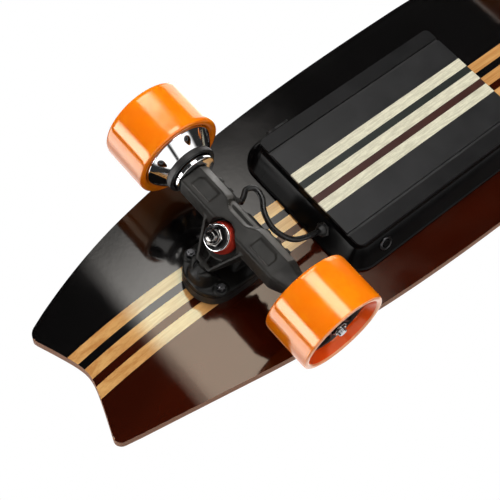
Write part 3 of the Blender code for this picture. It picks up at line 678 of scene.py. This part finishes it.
def deck_outline(inset):
    """The deck's outline, anticlockwise from the middle of the tail's notch, drawn in by inset."""
    side = [(notch_x(TAIL_POINT_Y * i / 20), -TAIL_POINT_Y * i / 20) for i in range(20)]
    point = Vector((-BOARD_HALF_LENGTH + TAIL_POINT_RADIUS, -TAIL_POINT_Y))
    side += arc(point.x, point.y, TAIL_POINT_RADIUS, 180, 252, 8)
    start_x = -BOARD_HALF_LENGTH + 2.2 * TAIL_POINT_RADIUS
    for i in range(40):
        x = start_x + (WIDEST_X - start_x) * i / 40
        side.append((x, -half_width(x)))
    for i in range(56):
        angle = math.pi / 2 * i / 56
        side.append((WIDEST_X + (BOARD_HALF_LENGTH - WIDEST_X) * math.sin(angle),
                     -BOARD_HALF_WIDTH * math.cos(angle)))
    points = side + [(BOARD_HALF_LENGTH, 0.0)] + [(x, -y) for x, y in reversed(side[1:])]
    inner = []
    for i, point in enumerate(points):
        along = (Vector(points[(i + 1) % len(points)]) - Vector(points[i - 1])).normalized()
        inner.append((point[0] - along.y * inset, point[1] + along.x * inset))
    return inner


def bent_board(low, high, inset, edge):
    """A flat board with eased edges, sliced across its length so that its ends can be turned up."""
    shape = prism(deck_outline(inset), low, high)
    rim = [e for e in shape.edges if abs(e.verts[0].co.z - e.verts[1].co.z) < 1e-7]
    bmesh.ops.bevel(shape, geom=rim, offset=edge, segments=3, profile=0.5, affect="EDGES")
    slices = [TAIL_KICK_X - step * TAIL_SLICE_MM * MM for step in range(21)]
    slices += [NOSE_KICK_X + step * NOSE_SLICE_MM * MM for step in range(14)]
    slices += [x * MM for x in range(-262, 320, 31)]
    for x in slices:
        sliced(shape, (x, 0, 0), (1, 0, 0))
    return shape


def bent_up(shape):
    """Lift a flat board to its height and turn its ends up."""
    for vert in shape.verts:
        vert.co.z += UNDERSIDE_Z + kick(vert.co.x)
    return shape


def split_at_stripes(shape):
    for edge in STRIPE_EDGES:
        for side in (-1, 1):
            sliced(shape, (0, side * edge, 0), (0, 1, 0))


def on_stripe(y):
    inner, gap, outer = STRIPE_EDGES
    return abs(y) < inner or gap < abs(y) < outer


def build_deck():
    deck = bent_board(0, DECK_THICKNESS, 0, 1.3 * MM)
    split_at_stripes(deck)
    bmesh.ops.recalc_face_normals(deck, faces=deck.faces)
    for face in deck.faces:
        y = face.calc_center_median().y
        if face.normal.z > -0.8:
            face.material_index = 3 if face.normal.z < 0.8 else 0
        elif on_stripe(y):
            face.material_index = 2
        else:
            face.material_index = 1 if y > 0 else 0
    looks = ["black_lacquer", "brown_lacquer", "stripe", "ply"]
    piece("deck_board", bent_up(deck), looks, "board", "deck", 30)
    tape = bent_board(DECK_THICKNESS + 0.05 * MM, TAPE_TOP, TAPE_INSET, 0.4 * MM)
    piece("grip_sheet", bent_up(tape), "grip", "board", "grip_tape", 30)


# Enclosure ----------------------------------------------------------------------------------

def box_loop(drop, grow, radius):
    outline = rounded_rectangle(BOX_X, LID_HALF_LENGTH + grow, LID_HALF_WIDTH + grow, radius, 10)
    return [(x, y, UNDERSIDE_Z - drop) for x, y in outline]


def side_frame(side, x):
    """A frame half way down a side wall, with its Z pointing out."""
    out = Vector((0, side * math.cos(WALL_SLOPE), -math.sin(WALL_SLOPE)))
    return frame_of(out, Vector((1, 0, 0)), (x, side * (LID_HALF_WIDTH + WALL_SPREAD / 2), WALL_MIDDLE_Z))


def tail_frame(y):
    """The same on the wall that faces the tail."""
    out = Vector((-math.cos(WALL_SLOPE), 0, -math.sin(WALL_SLOPE)))
    return frame_of(out, Vector((0, 1, 0)), (BOX_X - LID_HALF_LENGTH - WALL_SPREAD / 2, y, WALL_MIDDLE_Z))


BUTTON_FRAME = side_frame(1, BUTTON_X)
SOCKET_FRAME = side_frame(-1, BUTTON_X)
GLAND_FRAME = tail_frame(GLAND_Y)


def build_housing():
    housing = loft([box_loop(*(size * MM for size in level)) for level in HOUSING_LEVELS])
    piece("housing_shell", housing, "housing", "board", "enclosure_housing", 24)


def build_lid():
    base = prism([(x, y) for x, y, _ in box_loop(0, 0, 7 * MM)], UNDERSIDE_Z - LID_BASE_DROP,
                 UNDERSIDE_Z - WALL_TOP_DROP - 0.3 * MM)
    panels = [ease_edges(base, 0.3 * MM)]
    for face in base.faces:
        face.material_index = 1
    levels = UNDERSIDE_Z - LID_DROP, UNDERSIDE_Z - PANEL_TOP_DROP
    rail = LID_HALF_WIDTH - GROOVE_Y - HALF_GROOVE
    for side in (-1, 1):
        middle = side * (GROOVE_Y + HALF_GROOVE + rail / 2)
        outline = [(x, y + middle) for x, y in rounded_rectangle(BOX_X, LID_HALF_LENGTH, rail / 2, 0.6 * MM, 2)]
        panel = prism(eased_outer_corners(outline, side * LID_HALF_WIDTH, LID_CORNER), *levels)
        for face in panel.faces:
            face.material_index = 5
        panels.append(ease_edges(panel, PANEL_EASE))
    centre = prism(rounded_rectangle(BOX_X, LID_HALF_LENGTH, GROOVE_Y - HALF_GROOVE, 0.8 * MM, 2), *levels)
    panels.append(ease_edges(centre, PANEL_EASE))
    split_at_stripes(centre)
    for face in centre.faces:
        y = face.calc_center_median().y
        if on_stripe(y):
            face.material_index = 2
        elif abs(y) < STRIPE_EDGES[1]:
            face.material_index = 3 if y > 0 else 4
    piece("lid_panels", merged(*panels), ["lid", "groove", "cream", "lid_brown", "lid_green", "lid_rail"], "board",
          "enclosure_lid", 30)


def eased_outer_corners(outline, outer_y, radius):
    """An outline with the two corners on its outer side rounded more than the others."""
    low_x = min(x for x, _ in outline)
    high_x = max(x for x, _ in outline)
    inner_y = min((y for _, y in outline), key=lambda y: -abs(y - outer_y))
    side = 1 if outer_y > inner_y else -1
    points = [(low_x, inner_y), (high_x, inner_y)]
    turn = [(1 - math.cos(math.pi * step / 16), 1 - math.sin(math.pi * step / 16)) for step in range(9)]
    points += [(high_x - radius * along, outer_y - side * radius * across) for along, across in turn]
    points += [(low_x + radius * across, outer_y - side * radius * along) for along, across in turn]
    return points if side > 0 else points[::-1]


def build_fittings():
    at = scaled(BUTTON_FRAME)
    bezel = spun([(4.5, -1), (6.8, -1), (6.8, 1.3), (5.9, 1.9), (5.0, 1.9), (4.5, 1.2)], 0.35, 64)
    piece("button_ring", moved(bezel, at), "black_steel", "board", "button_bezel")
    button = rounded([(0, -6), (4.2, -6), (4.2, 1.7), (3.5, 2.3), (0.9, 2.0), (0, 1.9)], 0.4, closed=False)
    piece("button_dome", moved(turned(button + [(0, -6)], 48), at), "housing", "button", "power_button")

    at = scaled(SOCKET_FRAME)
    socket = spun([(0, -9.5), (8, -9.5), (8, -0.5), (10, -0.5), (10, 1.5), (9.6, 1.8), (7.0, 1.8), (6.5, 1.2),
                   (6.5, -7.5), (0, -7.5)], 0.3, 64, closed=False)
    piece("charge_port", moved(socket, at), "housing", "board", "charge_socket")
    pin = [(0, -7.6), (0.9, -7.6), (0.9, -2.6), (0.5, -2.0), (0, -2.0)]
    pins = [moved(turned(pin, 20), Matrix.Translation((x, y, 0))) for x, y in arc(0, 0, 2.6, 90, 330, 2)]
    piece("charge_pins", moved(merged(*pins), at), "zinc", "board")
    flap = ease_edges(prism(rounded_rectangle(2.75, 11.75, 9, 8.5), 2.1, 4.1), 0.7)
    tab = prism(rounded_rectangle(-7.2, 1.6, 4, 1.5, 4), 3.9, 4.1)
    piece("charge_flap_cover", moved(merged(flap, tab), at), "rubber", "charge_flap", "charge_cap")

    dome = spun([(0, -5), (4.5, -5), (4.5, 2), (5.6, 2), (5.5, 4), (4.4, 6.4), (3.6, 8), (0, 8)], 0.5, 48,
                closed=False)
    piece("gland_body", moved(merged(hexagon(7.4, 0.2, 2.1), dome), scaled(GLAND_FRAME)), "rubber", "board",
          "cable_gland")


# Trucks -------------------------------------------------------------------------------------

def kingpin_frame():
    """Z along the kingpin away from the deck, X along the steering axis, in mm."""
    along = Vector((math.cos(STEER_ANGLE), 0, -math.sin(STEER_ANGLE)))
    down = Vector((-math.sin(STEER_ANGLE), 0, -math.cos(STEER_ANGLE)))
    return frame_of(down, along, RING)


def steering_frame():
    """Z along the steering axis towards the pivot, from the ring's centre, in mm."""
    return frame_of(-KINGPIN.to_3x3().col[0], KINGPIN.to_3x3().col[2], RING)


KINGPIN = kingpin_frame()
STEERING = steering_frame()


def axle_frame(side):
    """Z outwards along the axle, in mm."""
    return Matrix.Translation((0, 0, -AXLE_DROP)) @ Matrix.Rotation(-side * math.pi / 2, 4, "X")


def truck_frame(end):
    turn = 0.0 if end == "rear" else math.pi
    return Matrix.Translation((AXLE_X[end], 0, UNDERSIDE_Z)) @ Matrix.Rotation(turn, 4, "Z") @ Matrix.Scale(MM, 4)


def base_outline():
    corners = ((26, 19, 8, 0), (-26, 2, 25, 90), (-26, -2, 25, 180), (26, -19, 8, 270))
    return [point for x, y, radius, start in corners for point in arc(x, y, radius, start, start + 90, 12)]


def build_base(end, place):
    riser = ease_edges(prism(base_outline(), -RISER_DROP, -0.3), 0.6)
    piece(f"{end}_riser_pad", moved(riser, place), "rubber", "board", f"{end}_riser")

    plate = prism(base_outline(), -18.7, -PLATE_TOP_DROP)
    seat = [KINGPIN @ Vector((x, y, -20)) for x, y in arc(0, 0, 15.2, 0, 360, 32)[:-1]]
    foot = [(-16, 15), (8, 15), (25, 8), (25, -8), (8, -15), (-16, -15)]
    tower = hull([(x, y, -16) for x, y in foot] + seat)
    barrel = [(-26, 12, -16), (-26, -12, -16), (-31, 11, -24), (-31, -11, -24)]
    for x, half_x, half_y, z in ((-36, 14.3, 14.3, -16), (-37.2, 12, 13, -27), (-38, 9, 12, -36.6)):
        barrel += [(x + half_x * along, half_y * across, z) for along, across in arc(0, 0, 1, 90, 270, 16)]
    bosses = [moved(turned([(0, -20.4), (6.3, -20.4), (7.2, -17), (0, -17)], 24), Matrix.Translation((x, y, 0)))
              for x, y in BOLT_PLACES]
    ribs = [prism([(-14, side * 13 - 1.1), (22, side * 17 - 1.1), (22, side * 17 + 1.1), (-14, side * 13 + 1.1)],
                  -21.5, -17) for side in (-1, 1)]
    cuts = [moved(rod(5.3, -60, 5, 24), KINGPIN), moved(rod(6.8, 10, 43.3, 24), STEERING)]
    body = cast([plate, tower, hull(barrel), *bosses, *ribs], cuts)
    sliced(body, (0, 0, -PLATE_TOP_DROP), (0, 0, 1), clear=True)
    bmesh.ops.holes_fill(body, edges=[e for e in body.edges if e.is_boundary])
    piece(f"{end}_base_casting", moved(body, place), "casting_base", "board", f"{end}_baseplate", 50)

    cup = spun([(4.9, 33), (6.5, 33), (6.5, 43), (0, 43), (0, 41), (4.9, 41)], 0.5, 40)
    piece(f"{end}_pivot_bush", moved(cup, place @ STEERING), "rubber", "board", f"{end}_pivot_cup")


def threaded(radius, low, high, pitch=1.0):
    """The side of a threaded rod as a zigzag profile."""
    points = []
    height = low
    while height < high - pitch:
        points += [(radius - 0.35, height), (radius, height + pitch / 2)]
        height += pitch
    return points


def build_kingpin(end, place):
    at = place @ KINGPIN
    top = BUSHING_TOP
    pin = [(0, -44), (8, -44), (8, -38), (5, -38), (5, top + 2)] + threaded(5, top + 2.2, KINGPIN_END - 0.6)
    pin += [(4.2, KINGPIN_END - 0.4), (3.6, KINGPIN_END), (0, KINGPIN_END)]
    piece(f"{end}_kingpin_bolt", moved(turned(pin, 40), at), "dark_steel", "board", f"{end}_kingpin")
    for name, sign in (("outer", 1), ("inner", -1)):
        profile = [(7.3, BUSHING_SEAT), (12.6, BUSHING_SEAT), (14.2, 8.6), (14.1, 12.6), (12.2, 16.6), (12.4, 18.8),
                   (11.6, top), (5.3, top), (5.7, 17.5), (6.9, 14)]
        bushing = spun([(radius, sign * height) for radius, height in profile], 1.4, 64, steps=4)
        made = piece(f"{end}_bushing_{name}_urethane", moved(bushing, at), "bushing", "board",
                     f"{end}_bushing_{name}")
        bend(made, at @ Vector((0, 0, sign * (top - 0.5))), at @ Vector((0, 0, sign * 8.5)))

    def look_of(spot):
        return int(spot[0] < 10.4 and spot[1] > top + 1)

    washer = spun([(5.3, top + 0.3), (10.9, top + 0.3), (11.8, top + 0.7), (11.9, top + 1.9), (11.3, top + 2.3),
                   (10.3, top + 2.2), (9.6, top + 1.5), (5.3, top + 1.5)], 0.35, 72, look_of=look_of)
    piece(f"{end}_cup", moved(washer, at), ["chrome", "black_steel"], "board", f"{end}_cup_washer")
    collar = [(5.2, top + 7.8), (6.9, top + 7.8), (6.9, top + 8.9), (6.1, top + 10), (5.2, top + 10)]
    nut = merged(hexagon(8.2, top + 1.9, top + 8, 0.9), spun(collar, 0.4, 48))
    piece(f"{end}_kingpin_locknut", moved(nut, at), "dark_steel", "board", f"{end}_kingpin_nut", 25)


def arm_section(y, waist, size=1.0):
    """The hanger's eased cross-section at y, its inner side drawn in by a waist."""
    points = [(-17.5, 79.5), (2 - waist, 82), (10.5 - waist, 75.5), (13 - waist, 66), (11 - waist, 57.5), (-12, 56),
              (-18, 61)]
    section = [(x * size, -AXLE_DROP - size * (drop - AXLE_DROP)) for x, drop in points]
    return [(x, y, z) for x, z in rounded(section, 1.3, steps=2)]


def waist_at(y):
    """How far the inner side is drawn in at y: a smooth dip about the middle."""
    t = min(1.0, max(0.0, (abs(y) - 9) / 13))
    return 6.5 * (1 - t * t * (3 - 2 * t))


def kingpin_hull(points):
    return hull([KINGPIN @ Vector(point) for point in points])


def build_legs():
    """The triangle that joins the ring to the pivot: two walls, a floor, a rib, an apex and the pivot's pin."""
    wall = ((9, 27.5, 16), (9, 24.2, 16), (-30.5, 8.8, 4.2), (-30.5, 5.8, 4.2))
    legs = [kingpin_hull((along, side * across, height) for along, across, high in wall for height in (-5.2, high))
            for side in (-1, 1)]
    legs.append(kingpin_hull((along, side * across, height) for along, across in ((6, 22), (-30, 7))
                             for side in (-1, 1) for height in (-5.3, -2.2)))
    legs.append(kingpin_hull((along, side * 1.1, height) for along, high in ((-18, 5), (-30, 4))
                             for side in (-1, 1) for height in (-4, high)))
    legs.append(kingpin_hull((along, side * 9, height) for along in (-31.2, -27.5) for side in (-1, 1)
                             for height in (-4.6, 4.4)))
    legs.append(moved(turned([(0, 27), (4.6, 27), (4.6, 37), (3.2, 39.6), (0, 40.2)], 24), STEERING))
    return legs


def build_back(channel_end):
    """The lip along the arms' inner side, with its small knobs."""
    shells = []
    knob = [(0, -2.6), (2.6, -2.6), (2.6, 2.6), (0, 2.6)]
    for side in (-1, 1):
        outline = [(12.5, 60), (15.6, 61), (15.6, 65.5), (12.5, 66.5)]
        shells.append(loft([[(x - waist_at(y), side * y, -drop) for x, drop in outline]
                            for y in range(14, channel_end, 3)]))
        for y in (19, 31, 43):
            spot = Matrix.Translation((15.4 - waist_at(y), side * y, -62.5)) @ Matrix.Rotation(math.pi / 2, 4, "X")
            shells.append(moved(spun(knob, 0.6, 16, closed=False), spot))
    return shells


def build_hanger(end, place):
    taper = [(57.5, 1.0), (61, 0.94), (70, 0.74), (PLAIN_ARM_END, 0.62)]
    right = [(MOTOR_ARM_END - 1.2, 1.0), (MOTOR_ARM_END, 0.95)] if end == "rear" else taper
    middle = [(y, 1.0) for y in range(-54, 55, 3)]
    stations = [(-y, size) for y, size in reversed(right)] + middle + taper
    arms = loft([arm_section(y, waist_at(y), size) for y, size in stations])
    arms = carved(arms, [panel_cut(side) for side in (-1, 1)])
    ring = moved(turned([(0, -5.9), (19.2, -5.9), (19.5, -5), (19.5, 5), (19.2, 5.9), (0, 5.9)], 48), KINGPIN)
    start = -88.5 if end == "front" else -30
    spindle = [(0, start), (8, start), (9, start + 21), (9, 67), (8, 88.5), (0, 88.5)]
    spindle = moved(spun(spindle, 1, 40, closed=False), axle_frame(1))
    cuts = [moved(rod(16.4, 6.05, 40, 48), KINGPIN), moved(rod(16.4, -40, -6.05, 48), KINGPIN),
            moved(rod(8.5, -20, 20, 32), KINGPIN)]
    shells = [arms, ring, *build_legs(), spindle, *build_back(50 if end == "rear" else 40)]
    body = cast(shells, cuts, voxel=0.7, smoothing=4)
    body.normal_update()
    # Painted highlight: faces along the nose-side bevel that face the key light take the paler, shinier casting
    # look; worn is the direction these faces face.
    worn = Vector((6.5, 0, -8.5)).normalized()
    for face in body.faces:
        centre = face.calc_center_median()
        face.material_index = int(face.normal.dot(worn) > 0.94 and abs(centre.y) < 56 and centre.z < -74)
    piece(f"{end}_hanger_casting", moved(body, place), ["casting", "casting_painted_highlight"], f"{end}_hanger_body",
          f"{end}_hanger", 50)


def panel_cut(side):
    """The shallow rectangular recess in an arm's face."""
    outline = [(-12.5, 26), (-12.5, 49), (-3.5, 49), (-0.5, 45), (-0.5, 26)]
    return loft([[(x, side * y, depth - 79.5 - (x + 17.5) * 2.5 / 19.5) for x, y in outline] for depth in (1.3, -6)])


def build_bolts(end, place):
    for number, (x, y) in enumerate(BOLT_PLACES, 1):
        shank = [(0, -26.5), (2.0, -26.5)] + threaded(2.4, -26, -19) + [(2.4, -19), (2.4, 11)]
        shank += [(2.4, 11.2), (4.6, 12.2), (4.6, 12.7), (2.3, 12.8), (2.2, 11.6), (0, 11.6)]
        nut = merged(hexagon(4.4, -23.4, -20.5, 0.4),
                     turned([(2.3, -24.6), (3.4, -24.6), (3.7, -23.2), (2.3, -23.2)], 24))
        body = moved(merged(turned(shank, 32), nut), place @ Matrix.Translation((x, y, 0)))
        piece(f"{end}_bolt_set_{number}", body, "black_steel", "board", f"{end}_bolt_{number}", 25)


# Wheels -------------------------------------------------------------------------------------

def build_tyre(name, side, place):
    inner, outer = WHEEL_INNER, WHEEL_OUTER

    def look_of(spot):
        radius, height = spot
        if height > outer - 1.6 and radius < 40.9:
            return 1
        return 2 if height > outer - RECESS_DEPTH - 1 and radius < 37.2 else 0

    tyre = spun([(31.6, inner + 6.5), (35, inner + 1), (38.0, inner), (40.9, inner + 0.9), (41.5, inner + 4),
                 (41.5, outer - 4), (40.9, outer - 0.9), (38.8, outer), (36.4, outer - 0.7),
                 (31.6, outer - RECESS_DEPTH)], 2.2, 160, steps=5, look_of=look_of)
    piece(f"{name}_tyre_urethane", moved(tyre, place @ axle_frame(side)), ["tyre", "tyre_lip", "tyre_recess"],
          f"{name}_wheel", f"{name}_tyre", 30)


def cone_frame(number, radius, height):
    """A frame on the motor's cone, in its number's place of six."""
    turn = Matrix.Rotation(math.tau * (number + 0.62) / 6, 4, "Z")
    return turn @ Matrix.Translation((radius, 0, height)) @ Matrix.Rotation(CONE_TILT, 4, "Y")


def teardrop():
    """A drop-shaped cutter, broad towards the tyre."""
    angles = [math.tau * step / 24 for step in range(24)]
    return prism([(3.5 * math.cos(angle) * (1.0 + 0.55 * max(0.0, math.cos(angle)) ** 3), 3.2 * math.sin(angle))
                  for angle in angles], -3.4, 5)


def socket_screw():
    return spun([(0, -2), (2.3, -2), (2.3, 1.2), (1.2, 1.2), (1.15, 0), (0, 0)], 0.2, 28, closed=False)


def build_motor(name, side, place):
    at = place @ axle_frame(side)
    wheel = f"{name}_wheel"
    can = spun([(21, 67.8), (23.4, 67.8), (33.6, 80), (33.6, 82.3), (31, 84.9), (31, 117), (28.5, 119.4), (9, 119.4),
                (9, 117), (28.3, 117), (28.3, 84.5), (30.2, 82), (30.2, 80.3), (21, 68.8)], 0.5, 120, steps=2)
    can = carved(can, [moved(teardrop(), cone_frame(number, 29.6, 75)) for number in range(6)])
    screws = [moved(socket_screw(), cone_frame(number, 27.4, 77.6)) for number in range(6)]
    piece(f"{name}_can_shell", moved(can, at), "chrome", wheel, f"{name}_motor_can", 30)
    piece(f"{name}_can_screws", moved(merged(*screws), at), "black_steel", wheel, crease=25)
    seal = spun([(20.6, 62), (23.2, 62), (23.7, 62.6), (23.7, 66.8), (23.3, 67.6), (20.6, 67.6)], 0.5, 96)
    piece(f"{name}_can_seal", moved(seal, at), "rubber", wheel)
    inside = spun([(4.3, 70.5), (19, 70.5), (27.6, 80.5), (27.6, 113.5), (12, 113.5), (12, 116), (7.5, 116),
                   (7.5, 121), (4.3, 121)], 0.8, 72)
    piece(f"{name}_windings", moved(inside, at), "windings", "rear_hanger_body", f"{name}_stator")
    collar = spun([(10, 57.4), (19.4, 57.4), (19.9, 58), (19.9, 61.2), (19.2, 61.8), (17, 62.6), (17, 70.2),
                   (10, 70.2)], 0.35, 96)
    piece(f"{name}_shaft_collar", moved(collar, at), "chrome", "rear_hanger_body")
    cap = spun([(9.2, 119.4), (26, 119.4), (26.6, 120), (26.0, 120.7), (14, 121.2), (13.2, 120.6), (9.2, 120.6)],
               0.3, 96)
    piece(f"{name}_can_cap", moved(cap, at), "core", wheel)


def race(inner, outer, low, segments):
    return spun([(inner, low), (outer, low), (outer, low + 7), (inner, low + 7)], 0.3, segments)


def build_core(name, side, place):
    at = place @ axle_frame(side)
    parts = [spun([(27, 86), (31, 86), (31, 119.4), (27.6, 119.4), (26.6, 111), (26.6, 97)], 0.8, 96),
             spun([(11.3, 88), (15, 88), (15.6, 96), (15.6, 110), (15, 118.7), (11.3, 118.7)], 0.6, 64),
             spun([(15, 98.5), (27, 98.5), (27, 109.5), (15, 109.5)], 0.3, 64)]
    for number in range(8):
        rib = loft([[(15, -1.3, z), (27, -1.1, z + dz), (27, 1.1, z + dz), (15, 1.3, z)]
                    for z, dz in ((90, 1.5), (117.2, 1.2))])
        parts.append(moved(ease_edges(rib, 0.3, 40, 1), Matrix.Rotation(math.tau * number / 8, 4, "Z")))
    piece(f"{name}_core_body", moved(merged(*parts), at), "core", f"{name}_wheel", f"{name}_core", 30)
    for which, low, face, sign in (("inner", 89, 89, 1), ("outer", 111.4, 118.4, -1)):
        shield = turned([(6.2, face + sign * 0.5), (9.3, face + sign * 0.5), (9.3, face + sign * 0.9),
                         (6.2, face + sign * 0.9)], 64)
        races = merged(race(9.3, 11, low, 64), race(4.3, 6.2, low, 48), shield)
        piece(f"{name}_bearing_{which}_races", moved(races, at), "zinc", f"{name}_wheel", f"{name}_bearing_{which}")


def build_axle(end, place, nut_places):
    shaft = [(0, -AXLE_REACH), (3.3, -AXLE_REACH)] + threaded(4, -AXLE_REACH + 0.4, -AXLE_REACH + 12)
    shaft.append((4, -AXLE_REACH + 12))
    shaft += [(radius, -height) for radius, height in reversed(shaft)]
    piece(f"{end}_axle_rod", moved(turned(shaft, 36), place @ axle_frame(1)), "zinc", f"{end}_hanger_body",
          f"{end}_axle")
    for name, side, low in nut_places:
        nut = merged(hexagon(7.5, low + 0.8, low + 4.8, 0.7),
                     spun([(4.2, low), (7.6, low), (7.6, low + 0.8), (4.2, low + 0.8)], 0.2, 40),
                     spun([(4.2, low + 4.6), (6.0, low + 4.6), (5.6, low + 6), (4.2, low + 6)], 0.3, 40))
        piece(f"{name}_axle_locknut", moved(nut, place @ axle_frame(side)), "dark_steel", f"{end}_hanger_body",
              f"{name}_axle_nut", 25)


def build_truck(end):
    place = truck_frame(end)
    build_base(end, place)
    build_kingpin(end, place)
    build_hanger(end, place)
    build_bolts(end, place)
    nuts = []
    for side in (-1, 1):
        left = side > 0 if end == "rear" else side < 0
        name = f"{end}_left" if left else f"{end}_right"
        motor = name == "rear_right"
        build_tyre(name, side, place)
        (build_motor if motor else build_core)(name, side, place)
        nuts.append((name, side, MOTOR_NUT_Y if motor else PLAIN_NUT_Y))
    build_axle(end, place, nuts)


# Motor lead ---------------------------------------------------------------------------------

def smooth_route(places, spacing):
    """Points along a Catmull-Rom curve through the places."""
    knots = [2 * places[0] - places[1]] + places + [2 * places[-1] - places[-2]]
    points = []
    for before, start, stop, after in zip(knots, knots[1:], knots[2:], knots[3:]):
        steps = max(2, round((stop - start).length / spacing))
        for step in range(steps):
            t = step / steps
            points.append(0.5 * (2 * start + (stop - before) * t
                                 + (2 * before - 5 * start + 4 * stop - after) * t ** 2
                                 + (3 * start - before - 3 * stop + after) * t ** 3))
    return points + [places[-1]]


def tube(points, radius, sides=20):
    """A round tube along points, without twist, closed at its ends."""
    loops = []
    across = None
    for i, point in enumerate(points):
        along = (points[min(i + 1, len(points) - 1)] - points[max(i - 1, 0)]).normalized()
        across = across or along.orthogonal()
        across = (across - along * across.dot(along)).normalized()
        up = along.cross(across)
        angles = [math.tau * s / sides for s in range(sides)]
        loops.append([point + radius * (across * math.cos(angle) + up * math.sin(angle)) for angle in angles])
    return loft(loops)


def build_cable():
    route = [GLAND_FRAME @ Vector((0, 0, reach * MM)) for reach in (7.6, 14)]
    for x, y, drop in ((46, 28, 28), (35, 22, 36), (28.5, 11.5, 45), (30, -1.5, 51), (36, -12, 55),
                       (36.5, -22, 57), (29, -25, 59), (22, -20.5, 60), (15.8, -17, 61)):
        route.append(Vector((AXLE_X["rear"] + x * MM, y * MM, UNDERSIDE_Z - drop * MM)))
    lead = tube(smooth_route(route, 1.6 * MM), CABLE_RADIUS)
    made = piece("motor_lead", lead, "cable", "board", "motor_cable")
    bend(made, route[1], route[-1])


# Carried-over CAD pieces --------------------------------------------------------------------

def finish_inner_nodes():
    for node, look in (("enclosure_gasket", "rubber"), ("battery_pack", "cells"), ("controller_board", "circuit")):
        mesh = frame["nodes"][node].data
        mesh.materials.clear()
        mesh.materials.append(LOOKS[look])


# Stage, light and camera --------------------------------------------------------------------

def build_stage():
    """A pale floor that is seen only from above, darker where the board shades it, and blocks no light."""
    look = Finish("pale_floor", (0.86, 0.86, 0.86), 0.6)
    # Painted shadow: the floor glows with its own pale tone and is darkened by ambient occlusion where the board is
    # near; it takes no light.
    near = look.node("ShaderNodeAmbientOcclusion", {"Distance": 0.22}, samples=16).outputs["AO"]
    shade = look.rise(near, 0.25, 1.0, 0.3, 1.0)
    tone = look.mix(shade, (0.0, 0.0, 0.0), look.mix(look.noise(200), (0.83, 0.83, 0.83), (0.87, 0.87, 0.87)))
    surface = look.node("ShaderNodeEmission", {"Color": tone, "Strength": 1.0}).outputs[0]
    clear = look.node("ShaderNodeBsdfTransparent").outputs[0]
    behind = look.node("ShaderNodeNewGeometry").outputs["Backfacing"]
    shown = look.node("ShaderNodeMixShader", {0: behind, 1: surface, 2: clear}).outputs[0]
    look.plug(look.tree.nodes["Material Output"].inputs["Surface"], shown)
    shape = bmesh.new()
    bmesh.ops.create_grid(shape, x_segments=8, y_segments=8, size=4.0)
    floor = as_object("floor", shape)
    floor.data.materials.append(look.material)
    floor.location.z = -0.4 * MM
    for ray in ("diffuse", "glossy", "shadow", "transmission"):
        setattr(floor, f"visible_{ray}", False)


def build_light():
    """A white studio round the board: softboxes set by direction, and a white ground for the camera."""
    world = bpy.data.worlds.new("studio")
    world.cycles.sampling_method = "NONE"
    bpy.context.scene.world = world
    world.use_nodes = True
    t = Tree(world.node_tree)
    split = t.node("ShaderNodeSeparateXYZ", {0: t.node("ShaderNodeTexCoord").outputs["Generated"]})
    x, y, z = split.outputs

    def box(strength, *edges):
        """A soft box: each edge is a direction, where the light starts and where it is full."""
        return t.times(*(t.rise(*edge) for edge in edges), strength)

    below = z, -0.25, -0.45
    key = box(7.0, (x, -0.14, 0.02), (x, 0.44, 0.31), (y, -0.43, -0.33), (y, 0.5, 0.2), below)
    right_key = box(7.0, (x, -0.13, -0.06), (x, 0.6, 0.3), (y, -0.62, -0.55), (y, -0.44, -0.46), below)
    strip = box(9.0, (x, -0.8, -0.88), (z, -0.34, -0.28), (z, 0.09, 0.05), (y, -0.7, -0.6), (y, 0.3, 0.1))
    high_strip = box(4.5, (x, -0.35, -0.7), (z, 0.22, 0.27), (z, 0.95, 0.5), (y, -0.8, -0.6), (y, 0.3, 0.1))
    far_strip = box(5.0, (x, 0.4, 0.7), (z, 0.2, 0.3), (y, -0.8, -0.6), (y, -0.3, -0.4))
    band = t.plus(t.rise(x, -0.3, -0.38), t.rise(x, -0.26, -0.16))
    fill = t.times(t.rise(y, 0.5, 0.62), t.rise(z, 0.22, 0.1), t.rise(x, 0.75, 0.6), band, 1.6)
    edge = box(3.0, (x, 0.72, 0.85), (z, -0.32, -0.2), (z, 0.3, 0.18), (y, -0.26, -0.33))
    top = box(1.3, (z, 0.55, 0.9))
    mirrored = t.plus(key, right_key, strip, high_strip, far_strip, fill, edge, top, 0.03)
    side = box(0.4, (z, 0.4, -0.25))
    overhead = box(0.6, (z, -0.1, 0.4))
    spread = t.plus(key, right_key, side, overhead, t.times(top, 0.8), 0.03)
    path = t.node("ShaderNodeLightPath")
    level = t.plus(t.times(mirrored, t.math("SUBTRACT", 1.0, path.outputs["Is Diffuse Ray"])),
                   t.times(spread, path.outputs["Is Diffuse Ray"]))
    seen = path.outputs["Is Camera Ray"]
    lit = t.node("ShaderNodeBackground", {"Color": (1.0, 0.985, 0.965), "Strength": level}).outputs[0]
    white = t.node("ShaderNodeBackground", {"Color": (1.0, 1.0, 1.0), "Strength": 1.0}).outputs[0]
    shader = t.node("ShaderNodeMixShader", {0: seen, 1: lit, 2: white}).outputs[0]
    t.plug(t.tree.nodes["World Output"].inputs["Surface"], shader)


def build_camera():
    about_x, about_y, about_z = (Matrix.Rotation(angle, 3, axis) for angle, axis in zip(CAMERA_TURNS, "XYZ"))
    turn = about_x @ about_y @ about_z
    away = -(turn.transposed() @ TRUCK_BEFORE_CAMERA)
    placed = Matrix((turn.row[0], -turn.row[1], -turn.row[2])).transposed().to_4x4()
    placed.translation = away + Vector((AXLE_X["rear"], 0, UNDERSIDE_Z))
    lens = bpy.data.cameras.new("camera")
    lens.lens = LENS_MM
    lens.sensor_width = SENSOR_MM
    camera = bpy.data.objects.new("camera", lens)
    camera.matrix_world = placed
    bpy.context.collection.objects.link(camera)
    bpy.context.scene.camera = camera


bpy.context.scene.view_settings.view_transform = "Standard"
build_deck()
build_housing()
build_lid()
build_fittings()
for truck_end in ("rear", "front"):
    build_truck(truck_end)
build_cable()
finish_inner_nodes()
build_stage()
build_light()
build_camera()
